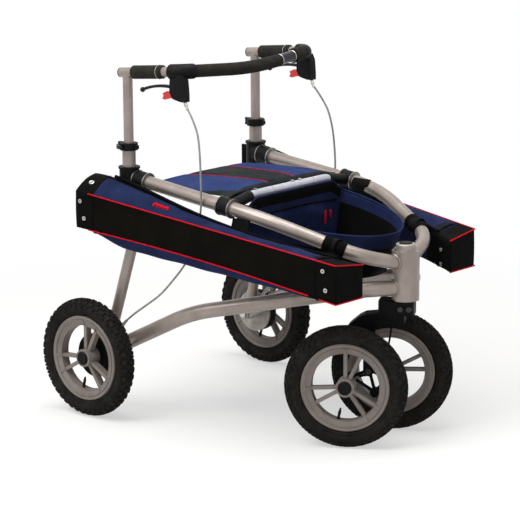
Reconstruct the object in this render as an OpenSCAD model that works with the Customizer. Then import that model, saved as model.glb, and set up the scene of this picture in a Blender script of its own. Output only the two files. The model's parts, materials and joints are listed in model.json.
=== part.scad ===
// All-terrain rollator: three-point frame, padded seat, front basket, two side bags,
// height-adjustable push handle, drum brakes and a swivelling front unit with two rocking wheels.
// X points forward, Y to the user's left, Z up, and the ground is Z = 0.

/* [Stance] */
// Distance between the middle planes of the rear wheels
rear_track = 688; // [660:1:740]
// Distance from the rear axle forward to the steering axis
steer_reach = 751; // [720:1:800]
// Angle of the front unit as it stands
swivel_angle = 29.8; // [0:0.1:40]

/* [Wheels] */
// Outer diameter of a tyre
wheel_d = 305; // [295:1:320]
// Width of a tyre
tyre_w = 47; // [42:1:50]
// Depth of the slots between the tread blocks
tread_depth = 4; // [2:0.5:6]
// Width of the slots between the tread blocks
tread_gap = 6; // [4:0.5:8]
// Tread blocks round each shoulder of a tyre
tread_count = 26; // [18:2:32]
// Radius of the rim flange
rim_flange_r = 109.5; // [106:0.5:112]
// Radius of the well that the tyre sits in
rim_well_r = 101; // [98:0.5:103]
// Radius of the opening inside the rim
rim_bore_r = 85; // [80:0.5:90]
// Width of the rim over its flanges
rim_w = 38; // [34:0.5:40]
// Thickness of a rim flange
flange_t = 5; // [4:0.5:6]
// Thickness of a spoke in the plane of the wheel
spoke_t = 9; // [7:0.5:12]
// Depth of a spoke along the axle
spoke_depth = 20; // [14:1:26]
// Thickness of the flat web of a spoke
spoke_web_t = 5; // [3:0.5:8]
// Half of the angle between the two spokes of a pair
spoke_half_angle = 13; // [10:0.5:18]
// Diameter of the hub
hub_d = 46; // [42:1:52]
// Length of the hub
hub_len = 40; // [36:1:44]
// Diameter of the hub cap
hub_cap_d = 34; // [28:1:38]
// Height of the hub cap
hub_cap_h = 6; // [4:0.5:9]
// Diameter of the wheel axles
axle_d = 12; // [10:0.5:14]
// Outer diameter of the wheel bearings
bearing_d = 28; // [26:1:32]
// Width of the wheel bearings
bearing_w = 8; // [7:0.5:10]
// Diameter of the valve
valve_d = 8; // [6:0.5:9]
// Length of the valve inside the rim
valve_len = 28; // [20:1:32]

/* [Rear brakes] */
// Outer diameter of the brake drum
drum_d = 112; // [104:1:120]
// Width of the brake drum
drum_w = 22; // [18:1:26]
// Wall of the brake drum
drum_wall = 5; // [4:0.5:7]
// Thickness of the brake plate
plate_t = 4; // [3:0.5:6]
// Diameter of the axle boss behind the brake plate
axle_boss_d = 32; // [30:1:36]
// Distance from the middle of the frame to the inner end of the axle boss
axle_boss_y = 254; // [248:1:262]
// Length of the brake arm
brake_arm_len = 46; // [40:1:52]

/* [Frame tubes] */
// Outer diameter of the upper rails
rail_d = 34; // [30:0.5:38]
// Outer diameter of the lower rails
low_rail_d = 38; // [34:0.5:42]
// Outer diameter of the rear struts
strut_d = 28; // [25:0.5:32]
// Wall of the frame tubes
tube_wall = 2; // [1.5:0.1:3]
// Half of the distance between the straight upper rails
rail_y = 236; // [230:1:245]
// Height of the upper rail at the push-handle post
rail_z = 609; // [600:1:620]
// Downward pitch of the straight upper rail
rail_pitch = 6.4; // [5:0.1:8]
// Distance of the upper rail's side bend from the rear axle
rail_bend_x = 480; // [460:1:500]
// Distance of the upper rail's nose bend behind the steering axis
nose_setback = 39; // [34:1:44]
// Half width of the upper rails at the nose bend
nose_half = 139; // [132:1:146]
// Height of the upper rails at the nose bend
nose_z = 481; // [475:1:487]
// Height at which the upper rails meet the head tube
rail_head_z = 441; // [436:1:446]
// Distance of the lower rail's nose bend behind the steering axis
low_nose_setback = 51; // [46:1:56]
// Half width of the lower rails at their nose bend
low_nose_half = 105; // [98:1:112]
// Height of the lower rails at their nose bend
low_nose_z = 389; // [384:1:394]
// Height at which the lower rails meet the head tube
low_head_z = 384; // [380:1:388]
// Distance of the lower rail's rear bend from the rear axle
low_bend_x = 260; // [250:1:270]
// Half width of the lower rails at their rear bend
low_bend_y = 235; // [230:1:240]
// Height of the lower rails at their rear bend
low_bend_z = 288; // [282:1:294]
// Distance from the middle of the frame to the foot of a lower rail
low_foot_y = 276; // [272:1:280]
// Distance of the strut's bend from the rear axle
strut_bend_x = 84; // [80:1:88]
// Half width at the strut's bend
strut_bend_y = 255; // [251:1:259]
// Height of the strut's bend
strut_bend_z = 460; // [450:1:470]

/* [Head] */
// Outer diameter of the head tube
head_d = 68; // [64:1:72]
// Height of the lower end of the head tube
head_low_z = 354; // [350:1:358]
// Length of the head tube
head_len = 123; // [118:1:130]
// Outer diameter of the head bearings
head_bearing_d = 54; // [50:1:56]
// Height of a head bearing
head_bearing_h = 14; // [12:1:18]
// Diameter of the steering stem
stem_d = 28; // [25:1:30]
// Diameter of the head cap
head_cap_d = 48; // [44:1:52]
// Height of the head cap
head_cap_h = 17; // [14:1:20]

/* [Push handle] */
// Distance of the posts from the rear axle
post_x = 58; // [54:1:62]
// Half of the distance between the posts
post_y = 242; // [238:1:246]
// Outer diameter of the sliding posts
post_d = 25; // [24:0.5:26]
// Outer diameter of the lower post tubes
leg_d = 34; // [32:0.5:36]
// Height of the lower end of the lower post tubes
leg_low_z = 556; // [550:1:562]
// Height of the upper end of the lower post tubes
leg_top_z = 684; // [678:1:690]
// Length of a sliding post inside its lower tube
post_overlap = 118; // [110:1:122]
// Height of the grip tube over the post
tee_z = 876; // [860:1:890]
// Rise of the grip tubes towards the front
grip_rise = 5.5; // [3:0.1:7]
// Outer diameter of the grip tubes and the front bar
bar_d = 25; // [24:0.5:26]
// Length of the grip tube behind the post
tee_back = 21; // [18:1:26]
// Distance from the post forward to the front bar
bar_reach = 186; // [178:1:194]
// Bow of the front bar in its middle
bar_bow = 16; // [8:1:22]
// Drop of the front bar in its middle
bar_dip = 16; // [8:1:20]
// Bend radius at the front corners of the handle
bar_bend_r = 34; // [30:1:38]
// Diameter of the foam grips
grip_d = 34; // [32:0.5:36]
// Length of the foam grips
grip_len = 108; // [100:1:112]
// Diameter of the foam on the front bar
foam_d = 32; // [30:0.5:35]
// Thickness of the body of a brake bracket
bracket_t = 20; // [16:1:24]
// Length of a brake lever
lever_len = 118; // [110:1:122]
// Thickness of a brake lever
lever_t = 7; // [6:0.5:8]
// Width of a brake lever
lever_w = 9; // [8:0.5:10]
// Diameter of the lever pins
pin_d = 6; // [5:0.5:7]

/* [Post clamps] */
// Height of a post clamp
clamp_h = 18; // [14:1:22]
// Wall of a post clamp
clamp_wall = 6; // [5:0.5:8]
// Length of a quick-release lever
clamp_lever_len = 38; // [32:1:44]

/* [Seat] */
// Length of the seat pad
seat_len = 283; // [274:1:288]
// Drop of the seat pad towards the front
seat_pitch = -1.5; // [-3:0.1:2]
// Thickness of the seat pad at its edge
seat_edge_t = 14; // [10:1:18]
// Extra thickness of the seat pad in its middle
seat_crown = 6; // [4:1:10]
// Depth of the sewn channels of the seat pad
seat_channel = 3; // [2:0.5:4]
// Diameter of the seat cross tube
cross_d = 22; // [20:0.5:24]
// Distance of the seat cross tube from the rear axle
cross_x = 382; // [376:1:388]
// Rise of the middle of the seat cross tube over the rails
cross_rise = 17; // [12:1:20]

/* [Basket] */
// Distance of the basket's front behind the steering axis
basket_setback = 42; // [40:1:50]
// Half width of the basket's back wall
basket_half = 208; // [196:1:210]
// Height of the basket's floor
basket_floor_z = 400; // [396:1:420]
// Wall of the basket
basket_wall = 4; // [3:0.5:6]
// Height of the basket's rim beside the back wall
basket_rim_z = 553; // [546:1:560]
// Downward pitch of the basket's rim
basket_pitch = 8; // [6.5:0.5:9.5]
// Height of the basket's back wall
basket_back_z = 590; // [580:1:594]

/* [Side bags] */
// Distance of the bag mouth behind the rear axle
bag_back = 25; // [15:1:35]
// Distance of the bag front ahead of the steering axis
bag_front = 6; // [0:1:12]
// Outer half width over the bags at the mouth
bag_rear_out = 352; // [346:1:358]
// Inner half width between the bags at the mouth
bag_rear_in = 279; // [274:1:284]
// Outer half width over the bags at the front
bag_front_out = 276; // [270:1:282]
// Inner half width between the bags at the front
bag_front_in = 172; // [168:1:178]
// Height of the outer top edge at the mouth
bag_rear_top = 582; // [576:1:588]
// Height of the outer top edge at the front
bag_front_top = 485; // [480:1:490]
// Height of the side panel of a bag
bag_panel_h = 94; // [86:1:102]
// Extra height of the inner top edge at the mouth
bag_rear_lift = 34; // [28:1:38]
// Drop of the inner top edge at the front
bag_front_drop = 14; // [10:1:18]
// Sag of the bag's floor
bag_sag = 26; // [18:1:32]
// Wall of the bags
bag_wall = 3; // [2:0.5:4]

/* [Front unit] */
// Half of the distance between the middle planes of the front wheels
front_half = 88.7; // [86:0.1:92]
// Distance of the rocker pivot behind the steering axis
pivot_trail = 88.4; // [84:0.1:92]
// Height of the rocker pivot over the axles
pivot_rise = 20; // [16:1:24]
// Distance between the two front axles along the rolling direction
axle_stagger = 87; // [80:1:92]
// Length of the crown block
crown_len = 88; // [80:1:92]
// Width of the crown block
crown_w = 60; // [54:1:64]
// Height of the crown block
crown_h = 34; // [30:1:38]
// Width of the arm between the front wheels
arm_w = 44; // [38:1:48]
// Distance of the rear end of the arm behind the steering axis
arm_trail = 140; // [134:1:146]
// Diameter of the rocker rods
rod_d = 8; // [7:0.5:10]
// Diameter of the bosses on the rocker
rocker_boss_d = 26; // [24:1:30]

/* [Hidden] */
// Overrun of every cut
over = 1;
// Gap at welded joints
weld_gap = 0.1;
// Clearance between parts that touch on the real object
seat_gap = 0.3;
// Radial clearance of shafts and sliding tubes
run_gap = 0.06;
// Air between parts that move past each other
air = 1.5;
// Facets of round pieces
$fn = 64;

// Bend radii of the frame tubes
rail_side_r = 420;
rail_nose_r = 110;
low_nose_r = 80;
low_rear_r = 400;
strut_bend_r = 300;
bar_bow_r = 900;
// Extra thickness of a tube in its bends
bend_swell = 0.2;

// Collars on the upper rails
collar_d = 46;
collar_len = 34;
ring_d = 49;
ring_t = 3;
rear_collar_x = 99;
rail_start_x = 86;

// Leg brackets
bracket_h = 58;
bracket_w = 50;
bracket_flare = 5;
bracket_neck_w = 34;

// Strap sleeves on the front rails
sleeve_d = 41;
sleeve_len = 56;
sleeve_place_share = 0.775;
strap_w = 25;
strap_t = 3;
strap_x = 425;

// Seat cross tube and its sockets
cross_shoulder_half = 138;
cross_bend_r = 120;
socket_wall = 3;
socket_len = 87;

// Shape of the seat pad
seat_lift = -5;
seat_draw = 6;
seat_wing = 10;
wing_drop_share = 0.6;
channel_share = 0.42;
channel_width_share = 0.06;

// Shape of the basket and the bags
foot_share = 0.85;
basket_back_cols = 6;
bag_slack = 10;
bag_fill = 14;
bag_arch = 10;
bag_hang_share = 0.5;
bag_lead_share = 0.6;
bag_rear_share = 0.4;

// Head cap and steering stem
cap_round = 4;
stem_proud = 8;

// Wheel details
tread_len = 22;
shoulder_angle = 38;
cap_recess = 3;
axle_nut_d = 20;
axle_nut_h = 6;

// Brake cam and arm
cam_x = 30;
cam_z = 41;
cam_boss_d = 14;
cam_boss_h = 8;
arm_plate_t = 4;
arm_eye_d = 10;
brake_arm_angle = 48;

// Post clamps
clamp_seat = 4;
clamp_pivot_r = 30;
clamp_ear_r = 6;
clamp_pin_d = 4;
clamp_slot_len = 16;
clamp_lever_t = 7;
lever_tip_share = 0.3;

// Brake bracket, lever and lock
bracket_drop = 74;
bracket_back = 2;
bracket_front = 24;
bracket_cap_d = 38;
lever_drop = 42;
lever_ahead = 10;
lever_ball_d = 13;
lever_arch = 7;
lever_droop = 7.5;
lever_root_r = 8;
lever_sweep = 12;
elbow_tail = 4;
grip_round = 5;
lock_drop = 62;
lock_ahead = 12;
lock_len = 42;
lock_root_r = 7;
lock_sweep = 24;
lock_h = 20;
lock_w = 9;
lever_slot_gap = 0.4;

// Cuff and bare sleeve between the left corner and the foam of the front bar
cuff_len = 34;
sleeve_bare_len = 62;
bar_sleeve_d = 27.5;

// Studs and snaps
stud_d = 9;
stud_shares = [-0.62, 0.05, 0.19];
stud_h = 3;
snap_d = 11;
snap_h = 2.4;
snap_shares = [[0.02, 0.75], [0.035, 0.3], [0.955, 0.78], [0.965, 0.3]];

// Brake shoes
shoe_t = 8;
shoe_gap = 0.6;
shoe_split = 14;

// Front unit
bolt_d = 8;
bolt_head_d = 13;
bolt_head_h = 5;
arm_h = 30;
crown_nose = 24;
crown_round = 12;
crown_bolt_x = [-8, 13];
cheek_t = 6;
leg_w = 26;
pivot_d = 10;
stop_rod_d = 5;
stop_rod_trail = 30;
stop_rod_len = 104;
stop_lean_share = 0.16;
rocker_plate_w = 16;
cheek_gap = rocker_plate_w / 2 + air;
low_block_drop = 56;
low_block_trail = 74;
low_block_d = 24;

// Cables
cable_d = 5;
cable_sides = 8;
cable_steps = 4;
// Points of the left cable, measured from the rear axle
cable_route = [
    [252.5, 242, 818.6], [260, 242, 804], [279, 245, 780], [300, 250, 745], [311, 255, 700], [316, 258, 650],
    [318, 259, 600], [316, 259, 560], [308, 260, 515], [294, 262, 470], [270, 268, 420], [235, 275, 375],
    [195, 280, 333], [150, 283, 300], [110, 285, 272], [85, 286.4, 252], [64.2, 286.4, 231.6]
];

wheel_r = wheel_d / 2;
tyre_r = tyre_w / 2;
half_track = rear_track / 2;
front_tyre_reach = (wheel_r - tyre_r) * cos(swivel_angle) + tyre_r;
rear_trail = pivot_trail + axle_stagger / 2;
near_wheel_x = steer_reach - rear_trail * cos(swivel_angle) + front_half * sin(swivel_angle);
front_end_x = near_wheel_x + front_tyre_reach;
// The origin lies under the middle of the whole object
origin_x = (wheel_r - front_end_x) / 2;

function unit(v) = v / norm(v);
function mix(a, b, t) = a + (b - a) * t;
function flip(p) = [p.x, -p.y, p.z];
function rail_at(x) = [x, rail_y, rail_z - (x - post_x) * tan(rail_pitch)];
function tangent_len(r, a, b) = r * tan(acos(unit(a) * unit(b)) / 2);

rail_dir = unit([cos(rail_pitch), 0, -sin(rail_pitch)]);
rail_path = [
    rail_at(rail_start_x),
    rail_at(rail_bend_x),
    [steer_reach - nose_setback, nose_half, nose_z],
    [steer_reach, 0, rail_head_z]
];
rail_bends = [rail_side_r, rail_nose_r];
low_path = [
    [0, low_foot_y, wheel_r],
    [low_bend_x, low_bend_y, low_bend_z],
    [steer_reach - low_nose_setback, low_nose_half, low_nose_z],
    [steer_reach, 0, low_head_z]
];
low_bends = [low_rear_r, low_nose_r];
strut_path = [
    [0, low_foot_y, wheel_r],
    [strut_bend_x, strut_bend_y, strut_bend_z],
    rail_at(rear_collar_x)
];
strut_bends = [strut_bend_r];

cross_root = rail_at(cross_x);
cross_shoulder = [cross_x, cross_shoulder_half, cross_root.z + cross_rise];
cross_in = unit(cross_shoulder - cross_root);
cross_start = cross_root + cross_in * collar_d / 2;
cross_path = [cross_start, cross_shoulder, flip(cross_shoulder), flip(cross_start)];
sleeve_point = mix(rail_path[1], rail_path[2], sleeve_place_share);
sleeve_dir = unit(rail_path[2] - rail_path[1]);
clamp_z = leg_top_z - clamp_seat;

head_top_z = head_low_z + head_len;
grip_dir = [cos(grip_rise), 0, sin(grip_rise)];
function grip_at(x) = [x, post_y, tee_z + (x - post_x) * tan(grip_rise)];
bar_x = post_x + bar_reach;
bar_corner = grip_at(bar_x);
bar_mid = [bar_x + bar_bow, 0, bar_corner.z - bar_dip];
handle_path = [
    grip_at(post_x - tee_back), bar_corner, bar_mid,
    [bar_corner.x, -bar_corner.y, bar_corner.z],
    [post_x - tee_back, -post_y, grip_at(post_x - tee_back).z]
];
handle_bends = [bar_bend_r, bar_bow_r, bar_bend_r];
bar_dir = unit(bar_mid - bar_corner);
grip_from_x = post_x + leg_d / 2 + air;
bracket_x = bar_x - bar_bend_r;
lever_pivot = [bracket_x + lever_ahead, post_y, bar_corner.z - lever_drop];
lock_pivot = [bracket_x + lock_ahead, post_y, bar_corner.z - lock_drop];

// Places things in the object's frame from a frame with its origin under the rear axle
module stand() {
    translate([origin_x, 0, 0]) children();
}

// Draws the left piece and its mirror image on the right
module pair() {
    children();
    mirror([0, 1, 0]) children();
}

module right() {
    mirror([0, 1, 0]) children();
}

// Turns local Z to a direction and moves the origin to a point
module along(point, dir) {
    translate(point)
        rotate([0, acos(dir.z / norm(dir)), atan2(dir.y, dir.x)])
            children();
}

module ring(d, bore, h) {
    linear_extrude(h) difference() {
        circle(d = d);
        circle(d = bore);
    }
}

// Frame of a bend: its centre, with local X to the start of the arc
module bend_frame(start, from_dir, to_dir, r) {
    inward = unit(to_dir - from_dir * (from_dir * to_dir));
    axis = cross(from_dir, inward);
    centre = start + inward * r;
    multmatrix([
        [-inward.x, from_dir.x, axis.x, centre.x],
        [-inward.y, from_dir.y, axis.y, centre.y],
        [-inward.z, from_dir.z, axis.z, centre.z],
        [0, 0, 0, 1]
    ]) children();
}

// Rod along straight runs and bends of given radii; the runs reach into the bends
module bent_rod(path, bends, d, bend_d) {
    last = len(path) - 1;
    dirs = [for (i = [0:last - 1]) unit(path[i + 1] - path[i])];
    cuts = [for (i = [0:last]) i == 0 || i == last ? 0 : tangent_len(bends[i - 1], dirs[i - 1], dirs[i]) - over];
    for (i = [0:last - 1])
        along(path[i] + dirs[i] * cuts[i], dirs[i])
            cylinder(d = d, h = norm(path[i + 1] - path[i]) - cuts[i] - cuts[i + 1]);
    for (i = [1:last - 1])
        bend_frame(path[i] - dirs[i - 1] * (cuts[i] + over), dirs[i - 1], dirs[i], bends[i - 1])
            rotate_extrude(angle = acos(dirs[i - 1] * dirs[i]))
                translate([bends[i - 1], 0]) circle(d = bend_d);
}

// Tube along the same path; its wall is a little thicker in the bends
module bent_tube(path, bends, d, bore) {
    difference() {
        bent_rod(path, bends, d, d + bend_swell);
        bent_rod(path, bends, bore, bore - bend_swell);
    }
}

// Closed skin over a list of rings with equal counts, capped at both ends
module loft(rings) {
    n = len(rings[0]);
    last = len(rings) - 1;
    points = concat([for (r = rings, p = r) p], [centre(rings[0]), centre(rings[last])]);
    sides = [for (k = [0:last - 1], i = [0:n - 1]) let (j = (i + 1) % n, a = k * n, b = a + n)
        each [[a + i, a + j, b + j], [a + i, b + j, b + i]]];
    low = [for (i = [0:n - 1]) [(last + 1) * n, (i + 1) % n, i]];
    high = [for (i = [0:n - 1]) [(last + 1) * n + 1, last * n + i, last * n + (i + 1) % n]];
    polyhedron(points, concat(sides, low, high));
}
function centre(ring) = [for (k = [0:2]) [for (p = ring) p[k]] * [for (p = ring) 1] / len(ring)];

// Head
module head_tube() {
    color("silver") stand() translate([steer_reach, 0, head_low_z]) difference() {
        ring(head_d, head_bearing_d - head_bearing_h, head_len);
        for (z = [-over, head_len - head_bearing_h])
            translate([0, 0, z]) cylinder(d = head_bearing_d, h = head_bearing_h + over);
    }
}

module head_bearings() {
    color("gray") stand() for (z = [head_low_z, head_top_z - head_bearing_h])
        translate([steer_reach, 0, z])
            ring(head_bearing_d - 2 * run_gap, stem_d + 2 * run_gap, head_bearing_h);
}

module head_cap() {
    color("gainsboro") stand() translate([steer_reach, 0, head_top_z]) rotate_extrude() difference() {
        union() {
            square([head_cap_d / 2, head_cap_h - cap_round]);
            square([head_cap_d / 2 - cap_round, head_cap_h]);
            translate([head_cap_d / 2 - cap_round, head_cap_h - cap_round]) circle(cap_round);
        }
        square([stem_d / 2 + air, head_cap_h - cap_round]);
        translate([-cap_round, -over]) square([cap_round, head_cap_h + 2 * over]);
    }
}

// Frame tubes
module upper_rail() {
    color("silver") stand() difference() {
        bent_tube(rail_path, rail_bends, rail_d, rail_d - 2 * tube_wall);
        translate([steer_reach, 0, head_low_z]) cylinder(d = head_d + 2 * weld_gap, h = head_len);
    }
}

module lower_rail() {
    color("silver") stand() difference() {
        bent_tube(low_path, low_bends, low_rail_d, low_rail_d - 2 * tube_wall);
        translate([steer_reach, 0, head_low_z]) cylinder(d = head_d + 2 * weld_gap, h = head_len);
        axle_bore(axle_boss_d + 2 * weld_gap);
    }
}

// Cylinder round the rear axle, long enough to cut every tube that ends there
module axle_bore(d) {
    translate([0, 0, wheel_r]) rotate([-90, 0, 0]) cylinder(d = d, h = half_track);
}

module strut() {
    color("silver") stand() difference() {
        bent_tube(strut_path, strut_bends, strut_d, strut_d - 2 * tube_wall);
        bent_rod(low_path, low_bends, low_rail_d + 2 * weld_gap, low_rail_d + 4 * weld_gap);
        axle_bore(axle_boss_d + 2 * weld_gap);
        along(rail_at(rear_collar_x) - rail_dir * collar_len, rail_dir)
            cylinder(d = collar_d + 2 * weld_gap, h = 2 * collar_len);
    }
}

module upper_rail_left() { upper_rail(); }
module upper_rail_right() { right() upper_rail(); }
module lower_rail_left() { lower_rail(); }
module lower_rail_right() { right() lower_rail(); }
module strut_left() { strut(); }
module strut_right() { right() strut(); }

// Lower post tubes and what joins them to the rails
module leg() {
    color("silver") stand() translate([post_x, post_y, leg_low_z])
        ring(leg_d, post_d + 2 * run_gap, leg_top_z - leg_low_z);
}
module leg_left() { leg(); }
module leg_right() { right() leg(); }

module leg_brackets() {
    bracket_reach = rear_collar_x - post_x - collar_len / 2 - ring_t - seat_gap;
    color("#1c1c1c") stand() pair() difference() {
        union() {
            translate([post_x, post_y, rail_z - bracket_h / 2]) cylinder(d = bracket_w, h = bracket_h);
            translate([post_x, post_y, rail_z + bracket_h / 2 - bracket_flare])
                cylinder(d = bracket_w + bracket_flare, h = bracket_flare);
            translate([post_x, post_y - bracket_neck_w / 2, rail_z - bracket_h / 2])
                cube([bracket_reach - ring_d / 2 * sin(rail_pitch), bracket_neck_w, bracket_h - bracket_flare]);
            along(rail_at(post_x), rail_dir)
                cylinder(d = collar_d, h = bracket_reach);
        }
        translate([post_x, post_y, leg_low_z])
            cylinder(d = leg_d + 2 * weld_gap, h = leg_top_z - leg_low_z);
        translate([post_x, post_y - bracket_w, rail_z - bracket_h / 2 - over])
            cube([tube_wall, bracket_w / 2 + tube_wall, bracket_h + 2 * over]);
        rail_collar(rear_collar_x) translate([0, 0, -ring_t - seat_gap])
            cylinder(d = ring_d + 2 * seat_gap, h = 2 * collar_len);
        bent_rod(strut_path, strut_bends, strut_d + 2 * weld_gap, strut_d + 4 * weld_gap);
    }
}

// Space of an upper rail, for what is pushed onto it
module rail_bore() {
    bent_rod(rail_path, rail_bends, rail_d + 2 * weld_gap, rail_d + 4 * weld_gap);
}

module rail_collar(x) {
    along(rail_at(x) - rail_dir * collar_len / 2, rail_dir) children();
}

module rail_collars() {
    color("#181818") stand() pair() {
        difference() {
            union() {
                for (x = [rear_collar_x, cross_x]) rail_collar(x) cylinder(d = collar_d, h = collar_len);
                along(cross_root, cross_in) cylinder(d = cross_d + 2 * socket_wall, h = socket_len);
            }
            rail_bore();
            along(cross_start - cross_in * weld_gap, cross_in) cylinder(d = cross_d + 2 * weld_gap, h = socket_len);
        }
    }
}

module collar_rings() {
    color("silver") stand() pair() difference() {
        for (x = [rear_collar_x, cross_x], z = [-ring_t, collar_len])
            rail_collar(x) translate([0, 0, z]) cylinder(d = ring_d, h = ring_t);
        rail_bore();
    }
}

module seat_cross_tube() {
    color("gainsboro") stand() {
        bent_tube(cross_path, [cross_bend_r, cross_bend_r], cross_d, cross_d - 2 * tube_wall);
        translate([cross_x, -ring_t, cross_shoulder.z]) rotate([-90, 0, 0])
            ring(cross_d + tube_wall, cross_d - tube_wall, 2 * ring_t);
    }
}

// Seat pad: a crowned cushion with two sewn channels and sides that draw in between the corners
seat_cols = 18;
seat_rows = 22;
seat_front_x = cross_x - cross_d / 2 - socket_wall + air / 2;
seat_mid_x = seat_front_x - seat_len / 2;
seat_base_z = rail_at(seat_mid_x).z + seat_lift;
seat_half_w = rail_y - ring_d / 2 - seat_gap;
function channel(v) = seat_channel * exp(-pow((abs(v) - channel_share) / channel_width_share, 2));
function crown(u, v) = (1 - pow(u, 4)) * (1 - pow(v, 4));
function draw_in(t) = seat_draw * (1 - t * t);
function seat_plan(u, v) = [
    u * (seat_len / 2 - draw_in(v) * pow(u, 4) / 2),
    v * (seat_half_w - seat_wing * (1 - pow(v, 8)) - draw_in(u) * pow(v, 4) * (1 - pow(v, 8)))
];
function seat_top(u, v) = let (p = seat_plan(u, v))
    [p.x, p.y, seat_edge_t * (1 - wing_drop_share * pow(v, 16)) + seat_crown * crown(u, v)
        - channel(v) * (1 - pow(u, 8))];
function seat_under(u, v) = let (p = seat_plan(u, v)) [p.x, p.y, 0];
function seat_uv(i, j) = [2 * i / seat_cols - 1, 2 * j / seat_rows - 1];
seat_border = concat(
    [for (i = [0:seat_cols - 1]) [i, 0]], [for (j = [0:seat_rows - 1]) [seat_cols, j]],
    [for (i = [seat_cols:-1:1]) [i, seat_rows]], [for (j = [seat_rows:-1:1]) [0, j]]
);

module seat_pad() {
    n = seat_rows + 1;
    count = (seat_cols + 1) * n;
    grid = [for (i = [0:seat_cols], j = [0:seat_rows]) seat_uv(i, j)];
    points = concat([for (g = grid) seat_top(g.x, g.y)], [for (g = grid) seat_under(g.x, g.y)]);
    cells = [for (i = [0:seat_cols - 1], j = [0:seat_rows - 1]) i * n + j];
    top = [for (a = cells) each [[a, a + 1, a + n + 1], [a, a + n + 1, a + n]]];
    under = [for (a = cells) each [[count + a, count + a + n + 1, count + a + 1],
        [count + a, count + a + n, count + a + n + 1]]];
    rim = [for (g = seat_border) g.x * n + g.y];
    edge = [for (k = [0:len(rim) - 1]) let (a = rim[k], b = rim[(k + 1) % len(rim)])
        each [[a, b, count + b], [a, count + b, count + a]]];
    color("navy") stand() translate([seat_mid_x, 0, seat_base_z]) rotate([0, seat_pitch, 0])
        polyhedron(points, concat(top, under, edge));
}

// Basket: half-oval shell that hangs from the cross tube, its rim sloping down to the front
basket_back_x = cross_x + cross_d / 2 + socket_wall + seat_gap;
basket_len = steer_reach - basket_setback - basket_back_x;
basket_steps = 24;
function basket_ring(len, half, rim_z, back_z, pitch) = [
    for (i = [0:basket_steps]) let (a = 180 * i / basket_steps - 90, x = len * cos(a))
        [basket_back_x + x, half * sin(a), rim_z - x * tan(pitch)],
    for (i = [1:basket_back_cols - 1])
        [basket_back_x, half * (1 - 2 * i / basket_back_cols), back_z]
];
function inset(ring, wall) = [for (p = ring) let (
        mid = [basket_back_x + basket_len / 2, 0],
        out = [p.x - mid.x, p.y - mid.y])
    [mid.x + out.x * (1 - wall / norm(out)), mid.y + out.y * (1 - wall / norm(out)), p.z]];
basket_rim = basket_ring(basket_len, basket_half, basket_rim_z, basket_back_z, basket_pitch);
basket_foot = basket_ring(basket_len * foot_share, basket_half * foot_share,
    basket_floor_z, basket_floor_z, 0);
basket_inner_foot = basket_ring(basket_len * foot_share, basket_half * foot_share,
    basket_floor_z + basket_wall, basket_floor_z + basket_wall, 0);

module basket() {
    color("midnightblue") stand()
        loft([inset(basket_inner_foot, basket_wall), inset(basket_rim, basket_wall), basket_rim, basket_foot]);
}

// Side bags: long lofted shells, open at the mouth, with a sagging floor
bag_len = bag_back + steer_reach + bag_front;
function bag_x(t) = t * bag_len - bag_back;
function bag_t(x) = (x + bag_back) / bag_len;
function bag_out(t) = mix(bag_rear_out, bag_front_out, t);
function bag_in(t) = mix(bag_rear_in, bag_front_in, t * t * t);
function bag_top(t) = mix(bag_rear_top, bag_front_top, t);
function bag_in_top(t) = mix(bag_rear_top + bag_rear_lift, bag_front_top - bag_front_drop, t)
    - bag_slack * sin(180 * t) + bag_fill * 15 * t * pow(1 - t, 5);
function bag_low(t) = bag_top(t) - bag_panel_h + bag_arch * sin(180 * t);
function bag_hang(t) = bag_sag * (1 + bag_rear_share * (1 - t))
    * pow(max(0, sin(180 * pow(t, bag_lead_share))), bag_hang_share);
bag_yaw = -atan2(bag_rear_out - bag_front_out, bag_len);
// Section shares: across from the outer side to the inner side, then the drop as a share of the sag
bag_floor_shares = [[0.03, 0.35], [0.25, 0.9], [0.5, 1], [0.75, 0.85], [0.97, 0.2]];
bag_crest_shares = [[0.7, 0.03], [0.35, 0.03]];
function bag_ring(t, wall) = let (
        out = bag_out(t) - wall, in = bag_in(t) + wall,
        low = bag_low(t) + wall, high = bag_top(t) - wall, high_in = bag_in_top(t) - wall)
    concat(
        [[bag_x(t), out, high], [bag_x(t), out, mix(low, high, 0.5)], [bag_x(t), out, low]],
        [for (s = bag_floor_shares) [bag_x(t), mix(out, in, s.x), low - bag_hang(t) * s.y]],
        [[bag_x(t), in, mix(low, high_in, 0.5)], [bag_x(t), in, high_in]],
        [for (s = bag_crest_shares) [bag_x(t), mix(out, in, s.x), mix(high, high_in, s.x) + s.y * bag_panel_h]]
    );
bag_steps = 12;

module bag() {
    front_t = 1 - bag_wall / bag_len;
    inner = [for (k = [bag_steps:-1:0]) bag_ring(front_t * k / bag_steps, bag_wall)];
    outer = [for (k = [0:bag_steps]) bag_ring(k / bag_steps, 0)];
    color("#15182e") stand() loft(concat(inner, outer));
}
module bag_left() { bag(); }
module bag_right() { right() bag(); }

// Webbing that hangs the bags from the upper rails
module strap_sleeves() {
    color("#101010") stand() pair() {
        difference() {
            union() {
                along(sleeve_point - sleeve_dir * sleeve_len / 2, sleeve_dir) cylinder(d = sleeve_d, h = sleeve_len);
                strap(sleeve_point, bag_t(sleeve_point.x + strap_w / 2));
            }
            rail_bore();
        }
        difference() {
            strap(rail_at(strap_x), bag_t(strap_x + strap_w / 2));
            rail_bore();
        }
    }
}

// Flat strap from a point on the rail to the inner top edge of the bag
module strap(from, t) {
    to = [from.x, bag_in(t) - seat_gap - strap_t, bag_in_top(t) - strap_t];
    run = to - from;
    translate(from) rotate([atan2(run.z, run.y), 0, 0])
        translate([-strap_w / 2, 0, 0]) cube([strap_w, norm(run), strap_t]);
}

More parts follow.
